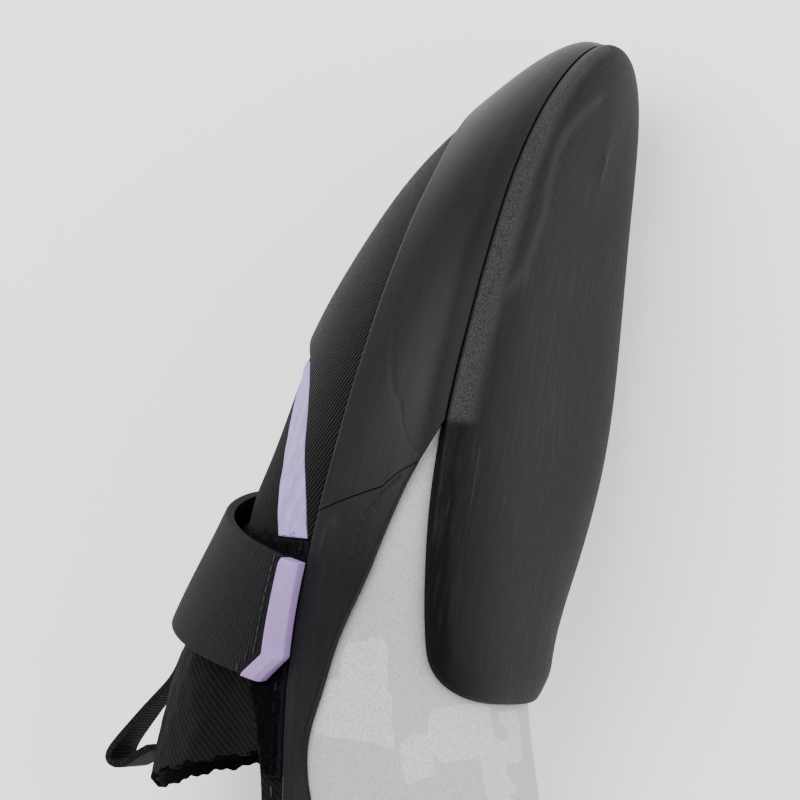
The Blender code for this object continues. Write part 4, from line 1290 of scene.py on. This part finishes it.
class SHOE_OT_pile(bpy.types.Operator):
    """Loop pile on the lateral flap"""

    bl_idname = "shoe.pile"
    bl_label = "Loop pile"

    def execute(self, context):
        """A layer for the cloth, small loops of yarn all over it, and a fringe of them
        over the trim's end."""
        sizes, colours = shoe_settings()
        material = loop_pile_cloth(colours)
        place = patch(
            PILE_BACK, TRIM_BACK - END_GAP,
            lambda ring: rand_top(ring) + EDGE_GAP, pile_top, columns=150, rows=60)
        rough = waves(*place[:2], seed=9, length=3 * MM, size=0.15 * MM) - 0.4 * MM
        layer_solid("pile_cloth", "pile_patch", place, sizes.pile, material, radius=0.6 * MM, extra=rough)
        points, faces = curl(
            count=5200, size=0.75 * MM, seed=11, place_of=scatter(
                (PILE_BACK + 0.03, TRIM_BACK - 0.03),
                lambda ring: (rand_top(ring) + 0.008, pile_top(ring) - 0.004),
                CLEARANCE + sizes.pile - 0.55 * MM))
        fringe, fringe_faces = curl(
            count=70, size=1.0 * MM, seed=17, place_of=scatter(
                (TRIM_BACK - 0.04, TRIM_BACK + 0.05),
                lambda ring: (rand_top(ring) + 0.012, pile_top(ring) - 0.010),
                CLEARANCE + sizes.toe_patch))
        faces = np.vstack([faces, fringe_faces + len(points)])
        points = np.vstack([points, fringe])
        made = piece("pile_loops", laid(points), faces, None, [material], weld=False)
        settle(made, "pile_patch", replace=False)
        return {"FINISHED"}


def strap_place(along, across, width):
    """Ring station and height of a place on the strap. Along runs from -1 at its medial foot over the ridge
    at 0 to 1 at its lateral end, across from -1 on its rear edge to 1 on its front edge. The strap runs
    straight over the medial side, bends on the ridge and slants back down the lateral side."""
    half = width / 2 / STATION_LENGTH
    slant = (along + np.sqrt(along ** 2 + STRAP_BEND ** 2)) / 2
    station = STRAP_ON_RIDGE - STRAP_SWEEP * slant + half * across
    foot = np.where(along >= 0, STRAP_REACH, STRAP_FOOT)
    height = 1 - (1 - foot) * np.abs(along)
    return np.where(along >= 0, station, LOOP - station), height


def strap_lift(along, rand):
    """Lift of the strap's underside: on the upper at its medial foot, and over pile and rand
    on the other side."""
    over = rand + 2 * CLEARANCE
    return CLEARANCE + (over - CLEARANCE) * smooth_step((along + 1) / STRAP_CLIMB)


def strap_end(across, tab_share):
    """Along value where the webbing ends: straight, with its rear corner cut."""
    corner = 2 * STRAP_CORNER_WIDTH
    return 1 - tab_share - STRAP_CORNER * np.clip((corner - 1 - across) / corner, 0, 1)


class SHOE_OT_strap(bpy.types.Operator):
    """Webbing strap with its moulded tab"""

    bl_idname = "shoe.strap"
    bl_label = "Strap"

    def execute(self, context):
        sizes, colours = shoe_settings()
        run_length = HEIGHT_LENGTH * (1 - STRAP_REACH)
        tab_share = sizes.tab_length / run_length
        self.webbing(sizes, colours, run_length, tab_share)
        self.tab(sizes, colours, run_length, tab_share)
        return {"FINISHED"}

    def webbing(self, sizes, colours, run_length, tab_share):
        """The webbing: shares of the way from its medial foot to its cut end, and across, at the strap's lift
        and a thickness over it that is rounded at every border and drawn in along the line of stitches."""
        across = (shares(60, 0.02) * 2 - 1)[None, :]
        part = shares(170, 0.003)[:, None]
        end = strap_end(across, tab_share)
        along = -1 + (end + 1) * part
        station, height = strap_place(along, across, sizes.strap_width)
        lift = strap_lift(along, sizes.rand)
        from_side = (1 - np.abs(across)) * sizes.strap_width / 2
        from_end = np.minimum(part, 1 - part) * (end + 1) * run_length
        distance = np.minimum(from_side, from_end)
        radius = 0.5 * MM
        seam = 2.2 * MM
        sewn_at = groove((end - along) * run_length - seam, width=0.4 * MM, depth=0.15 * MM)
        top = lift + sizes.strap - radius + radius * round_edge(distance, radius) + sewn_at
        texture = np.stack(np.broadcast_arrays(along * run_length, across * sizes.strap_width / 2), -1)
        solid = slab(laid(lifted(station, height, lift)), laid(lifted(station, height, top)), {}, texture)
        settle(piece("strap_webbing", *solid, [woven_webbing(colours)]), "strap")
        across = np.linspace(-0.9, 0.93, 12)
        along = strap_end(across, tab_share) - seam / run_length
        station, height = strap_place(along, across, sizes.strap_width)
        centres = lifted(station, height, strap_lift(along, sizes.rand) + sizes.strap + 0.02 * MM)
        station, height = strap_place(along, across + 0.02, sizes.strap_width)
        ahead = lifted(station, height, strap_lift(along, sizes.rand) + sizes.strap + 0.02 * MM)
        points, faces = stitches(centres, ahead - centres, length=1.7 * MM, half_thickness=0.22 * MM)
        made = piece("strap_stitches", laid(points), faces, None, [sewing_thread(colours)], weld=False)
        settle(made, "strap", replace=False)

    def tab(self, sizes, colours, run_length, tab_share):
        """The tab: a flat strip that slopes down to its end and, less, to its sides, with eased corners."""
        across = (shares(50, 0.02) * 2 - 1)[None, :]
        part = shares(30, 0.06)[:, None]
        gap = 2 * EDGE_GAP / (1 - STRAP_REACH)
        end = strap_end(across, tab_share)
        along = end + gap + (tab_share - gap) * part
        station, height = strap_place(along, across, sizes.strap_width)
        lift = strap_lift(along, sizes.rand)
        outward = (1 - part) * (tab_share - gap) * run_length
        from_side = (1 - np.abs(across)) * sizes.strap_width / 2
        end_slope, end_drop = 1.4 * MM, 1.1 * MM
        side_slope, side_drop = 0.8 * MM, 0.6 * MM
        corner = 0.3 * MM
        slope = np.clip(1 - outward / end_slope, 0, 1) * end_drop
        slope = np.maximum(slope, np.clip(1 - from_side / side_slope, 0, 1) * side_drop)
        distance = np.minimum(np.minimum(outward, from_side), part * (tab_share - gap) * run_length)
        top = lift + sizes.tab - slope - corner * (1 - round_edge(distance, corner))
        texture = np.stack(np.broadcast_arrays(along * run_length, across * sizes.strap_width / 2), -1)
        solid = slab(laid(lifted(station, height, lift)), laid(lifted(station, height, top)), {}, texture)
        settle(piece("strap_tab", *solid, [moulded_tab(colours)], sharp=25), "pull_tab")


def stitches(centres, directions, length, half_thickness):
    """Points and faces of stitches: seven circles of six points along each, which narrow towards both ends
    as a square root of 1 less the fourth power of the way from the middle."""
    rings, sides = 7, 6
    along = directions / np.linalg.norm(directions, axis=-1, keepdims=True)
    side = np.cross(along, (0.3, 0.2, 1.0))
    side /= np.linalg.norm(side, axis=-1, keepdims=True)
    other = np.cross(along, side)
    run = np.linspace(-1, 1, rings)[None, :, None, None]
    turn = (np.arange(sides) * 2 * np.pi / sides)[None, None, :, None]
    radius = np.sqrt(np.maximum(1 - run ** 4, 0.02)) * half_thickness
    points = (
        centres[:, None, None] + along[:, None, None] * run * length / 2
        + (side[:, None, None] * np.cos(turn) + other[:, None, None] * np.sin(turn)) * radius
    )
    return points.reshape(-1, 3), tube_faces(len(centres), rings, sides)


def tongue_lift(station, height, sizes):
    """Lift of the tongue's outer face: under the flaps, flush in the throat, and standing
    up towards its end."""
    inside = smooth_step((height - collar(station) - TONGUE_FREE) / TONGUE_RAMP)
    from_heel = np.where(station > TOE, LOOP - station, station)
    inside = inside * smooth_step((TRIM_BACK_MEDIAL - from_heel) / (TRIM_BACK_MEDIAL - TRIM_BACK))
    back = np.clip((TONGUE_LIFT_FROM - from_heel) / (TONGUE_LIFT_FROM - TONGUE_BACK), 0, 1)
    middle = smooth_step((height - TONGUE_RISES_FROM) / TONGUE_RISES_OVER)
    return (inside - 1) * (sizes.upper_wall + sizes.tongue_gap) + sizes.tongue_rise * back ** 1.5 * middle


class SHOE_OT_tongue(bpy.types.Operator):
    """Knit tongue with its raw end"""

    bl_idname = "shoe.tongue"
    bl_label = "Tongue"

    def execute(self, context):
        """Shares of the way from one edge over the ridge to the other, and from the raw end to the front.
        The end is cut back towards both edges and waves a little, and its outer face thins out to it."""
        sizes, colours = shoe_settings()
        material = stretch_knit(colours)
        share = (shares(130, 0.01) * 2 - 1)[None, :]
        ragged = 0.012 * np.sin(share * 41) + 0.010 * np.sin(share * 97 + 1)
        along = shares(120, 0.004)[:, None]
        back = TONGUE_BACK + TONGUE_CUT * np.abs(share)
        station = back + (TONGUE_FRONT - back) * along + ragged * (1 - along) ** 12
        station = np.where(share < 0, station, LOOP - station)
        height = 1 - np.abs(share) * (1 - tongue_edge(station))
        outer = tongue_lift(station, height, sizes)
        soft = waves(station, height, seed=12, length=9 * MM, size=0.25 * MM)
        from_heel = np.where(station > TOE, LOOP - station, station)
        thin = 0.75 * sizes.tongue * (1 - round_edge((from_heel - back + 0.05) * STATION_LENGTH, 1.2 * MM))
        inner = lifted(station, height, outer - sizes.tongue)
        texture = place_texture(from_heel, np.where(station > TOE, 2 - height, height))
        solid = slab(laid(inner), laid(lifted(station, height, outer + soft - thin)), {}, texture)
        settle(piece("knit_tongue", *solid, [material]), "tongue")

        def raw_end(ring):
            """The two heights of a narrow band along the tongue's end."""
            edge = 1 - tongue_edge(ring)
            return [1 - edge * (ring - TONGUE_BACK + offset) / TONGUE_CUT for offset in (0.012, -0.012)]

        points, faces = curl(
            count=1500, size=0.5 * MM, seed=13, place_of=scatter(
                (TONGUE_BACK + 0.01, TONGUE_BACK + TONGUE_CUT), raw_end,
                lambda ring, height: tongue_lift(ring, height, sizes) - 0.9 * MM))
        made = piece("tongue_fray", laid(points), faces, None, [material], weld=False)
        settle(made, "tongue", replace=False)
        return {"FINISHED"}


def pull_loop_path(count, sizes):
    """Middle line of the webbing's inner face, in the shoe's middle plane: a smooth curve through the
    shares of its reach and rise, from its foot behind the strap to its end on the tongue."""
    feet = np.array([PULL_LOOP_START, PULL_LOOP_END])
    rests = np.array([CLEARANCE, CLEARANCE + sizes.loop])
    start, end = lifted(feet, np.ones(2), tongue_lift(feet, np.ones(2), sizes) + rests)
    reach, rise = np.array(PULL_LOOP_SHARES).T
    x = np.append(start[0] - reach * sizes.loop_reach, end[0])
    z = np.append(start[2] + rise * sizes.loop_rise, end[2])
    keys = np.linspace(0, 1, len(x))
    at = np.linspace(0, 1, count)
    x, z = (smooth_line(np.stack([keys, values], -1))(at) for values in (x, z))
    return np.stack([x, np.full(count, start[1]), z], -1)


class SHOE_OT_pull_loop(bpy.types.Operator):
    """Webbing loop on the tongue"""

    bl_idname = "shoe.pull_loop"
    bl_label = "Pull loop"

    def execute(self, context):
        """A flat profile carried along the path: its width grows from the foot, its outer face stands off
        by the webbing's thickness and is rounded at both edges."""
        sizes, colours = shoe_settings()
        count = 150
        path = pull_loop_path(count, sizes)
        along = np.gradient(path, axis=0)
        walked = np.cumsum(np.linalg.norm(along, axis=-1))
        along /= np.linalg.norm(along, axis=-1, keepdims=True)
        outward = np.cross(along, (0, 1, 0))
        outward *= np.sign(outward[0, 2])
        wide = smooth_step(np.linspace(0, 1, count) / PULL_LOOP_WIDENS_BY)
        width = sizes.loop_width * (PULL_LOOP_FOOT_WIDTH + (1 - PULL_LOOP_FOOT_WIDTH) * wide)[:, None]
        across = (shares(30, 0.04) - 0.5)[None, :]
        inner = path[:, None] + (across * width)[..., None] * np.array((0, 1, 0))
        distance = (0.5 - np.abs(across)) * width
        radius = 0.6 * MM
        thickness = sizes.loop - radius + radius * round_edge(distance, radius)
        outer = inner + outward[:, None] * thickness[..., None]
        texture = np.stack(np.broadcast_arrays(walked[:, None], across * width), -1)
        solid = slab(laid(inner), laid(outer), {}, texture)
        settle(piece("finger_loop", *solid, [woven_webbing(colours)]), "pull_loop")
        return {"FINISHED"}


class SHOE_OT_stitching(bpy.types.Operator):
    """Visible lines of stitches on the flap and the collar"""

    bl_idname = "shoe.stitching"
    bl_label = "Stitching"

    def execute(self, context):
        """Stitches at even stations along a line of heights, each pointing to the next place on that line."""
        sizes, colours = shoe_settings()
        material = sewing_thread(colours)
        lines = {
            "pile_stitches": (
                "pile_patch", PILE_BACK + 0.06, TRIM_BACK - 0.06,
                lambda ring: rand_top(ring) + EDGE_GAP + 0.013, CLEARANCE + sizes.pile - 0.25 * MM),
            "collar_stitches": (
                "upper", LOOP - 4.1, LOOP + 4.1, lambda ring: collar(ring) - 0.018, 0.12 * MM),
        }
        for name, (node, start, end, height_of, lift) in lines.items():
            count = int((end - start) * STATION_LENGTH / (1.35 * sizes.stitch))
            station = np.linspace(start, end, count)
            centres = lifted(station, height_of(station), lift)
            ahead = lifted(station + 0.02, height_of(station + 0.02), lift)
            points, faces = stitches(centres, ahead - centres, sizes.stitch, half_thickness=0.24 * MM)
            made = piece(name, laid(points), faces, None, [material], weld=False)
            settle(made, node, replace=False)
        return {"FINISHED"}


class SHOE_OT_stage(bpy.types.Operator):
    """Floor, soft lights and the camera"""

    bl_idname = "shoe.stage"
    bl_label = "Stage"

    def execute(self, context):
        stage = context.scene.shoe_stage
        self.floor(context.scene.shoe_colours)
        right, up, back = camera_axes() @ REST_TURN.T
        self.light("key", -1.1 * right + 0.9 * up + 1.7 * back, 1.6, stage.key_power)
        self.light("fill", 1.3 * right + 0.4 * up + 1.3 * back, 1.4, stage.fill_power)
        world = bpy.data.worlds.new("studio")
        world.use_nodes = True
        background = world.node_tree.nodes["Background"]
        background.inputs["Color"].default_value = (1, 1, 1, 1)
        background.inputs["Strength"].default_value = stage.sky
        context.scene.world = world
        self.camera(context)
        return {"FINISHED"}

    def floor(self, colours):
        """A square sheet at the height that the shoe lies on."""
        reach = 3.0
        corners = np.array([(-1, -1, 0), (1, -1, 0), (1, 1, 0), (-1, 1, 0)]) * reach
        faces = np.array([(0, 1, 2, 3)])
        made = piece("floor", corners, faces, None, [studio_floor(colours)], weld=False)

    def light(self, name, place, size, power):
        """A square soft light that faces the shoe."""
        lamp = bpy.data.lights.new(name, "AREA")
        lamp.size = size
        lamp.energy = power
        made = bpy.data.objects.new(name, lamp)
        made.location = place
        made.rotation_euler = (-Vector(place)).to_track_quat("-Z", "Y").to_euler()
        bpy.context.scene.collection.objects.link(made)

    def camera(self, context):
        """The camera, looking along its axis at the picture's middle."""
        axes = camera_axes()
        across, below = (PICTURE_PIXELS / 2 - TIP_PIXEL) / PICTURE_SCALE
        middle = TOE_TIP + across * axes[0] - below * axes[1]
        place = (middle + CAMERA_DISTANCE * axes[2]) @ REST_TURN.T - REST_SHIFT
        lens = bpy.data.cameras.new("camera")
        lens.sensor_width = SENSOR_WIDTH
        lens.lens = SENSOR_WIDTH * CAMERA_DISTANCE / (PICTURE_PIXELS / PICTURE_SCALE)
        lens.clip_start = 0.05
        lens.clip_end = 20
        made = bpy.data.objects.new("camera", lens)
        context.scene.collection.objects.link(made)
        turned = Matrix((axes @ REST_TURN.T).tolist()).transposed().to_4x4()
        made.matrix_world = Matrix.Translation(Vector(place)) @ turned
        context.scene.camera = made


class SHOE_PT_panel(bpy.types.Panel):
    """The pieces and settings in the sidebar"""

    bl_idname = "SHOE_PT_panel"
    bl_label = "Climbing shoe"
    bl_space_type = "VIEW_3D"
    bl_region_type = "UI"
    bl_category = "Shoe"

    def draw(self, context):
        for operator in OPERATORS:
            self.layout.operator(operator.bl_idname)
        for group in ("shoe_sizes", "shoe_colours", "shoe_stage"):
            settings = getattr(context.scene, group)
            for name in settings.__annotations__:
                self.layout.prop(settings, name)


GROUPS = (ShoeSizes, ShoeColours, StageSettings)
OPERATORS = (
    SHOE_OT_stage, SHOE_OT_upper, SHOE_OT_insole, SHOE_OT_outsole, SHOE_OT_rands, SHOE_OT_toe_patch,
    SHOE_OT_trim, SHOE_OT_pile, SHOE_OT_strap, SHOE_OT_tongue, SHOE_OT_pull_loop, SHOE_OT_stitching,
)


def register():
    for item in (*GROUPS, *OPERATORS, SHOE_PT_panel):
        bpy.utils.register_class(item)
    bpy.types.Scene.shoe_sizes = bpy.props.PointerProperty(type=ShoeSizes)
    bpy.types.Scene.shoe_colours = bpy.props.PointerProperty(type=ShoeColours)
    bpy.types.Scene.shoe_stage = bpy.props.PointerProperty(type=StageSettings)


def unregister():
    del bpy.types.Scene.shoe_stage
    del bpy.types.Scene.shoe_colours
    del bpy.types.Scene.shoe_sizes
    for item in reversed((*GROUPS, *OPERATORS, SHOE_PT_panel)):
        bpy.utils.unregister_class(item)


def main():
    register()
    bpy.ops.shoe.stage()
    bpy.ops.shoe.upper()
    bpy.ops.shoe.insole()
    bpy.ops.shoe.outsole()
    bpy.ops.shoe.rands()
    bpy.ops.shoe.toe_patch()
    bpy.ops.shoe.trim()
    bpy.ops.shoe.pile()
    bpy.ops.shoe.strap()
    bpy.ops.shoe.tongue()
    bpy.ops.shoe.pull_loop()
    bpy.ops.shoe.stitching()


if __name__ == "__main__":
    main()
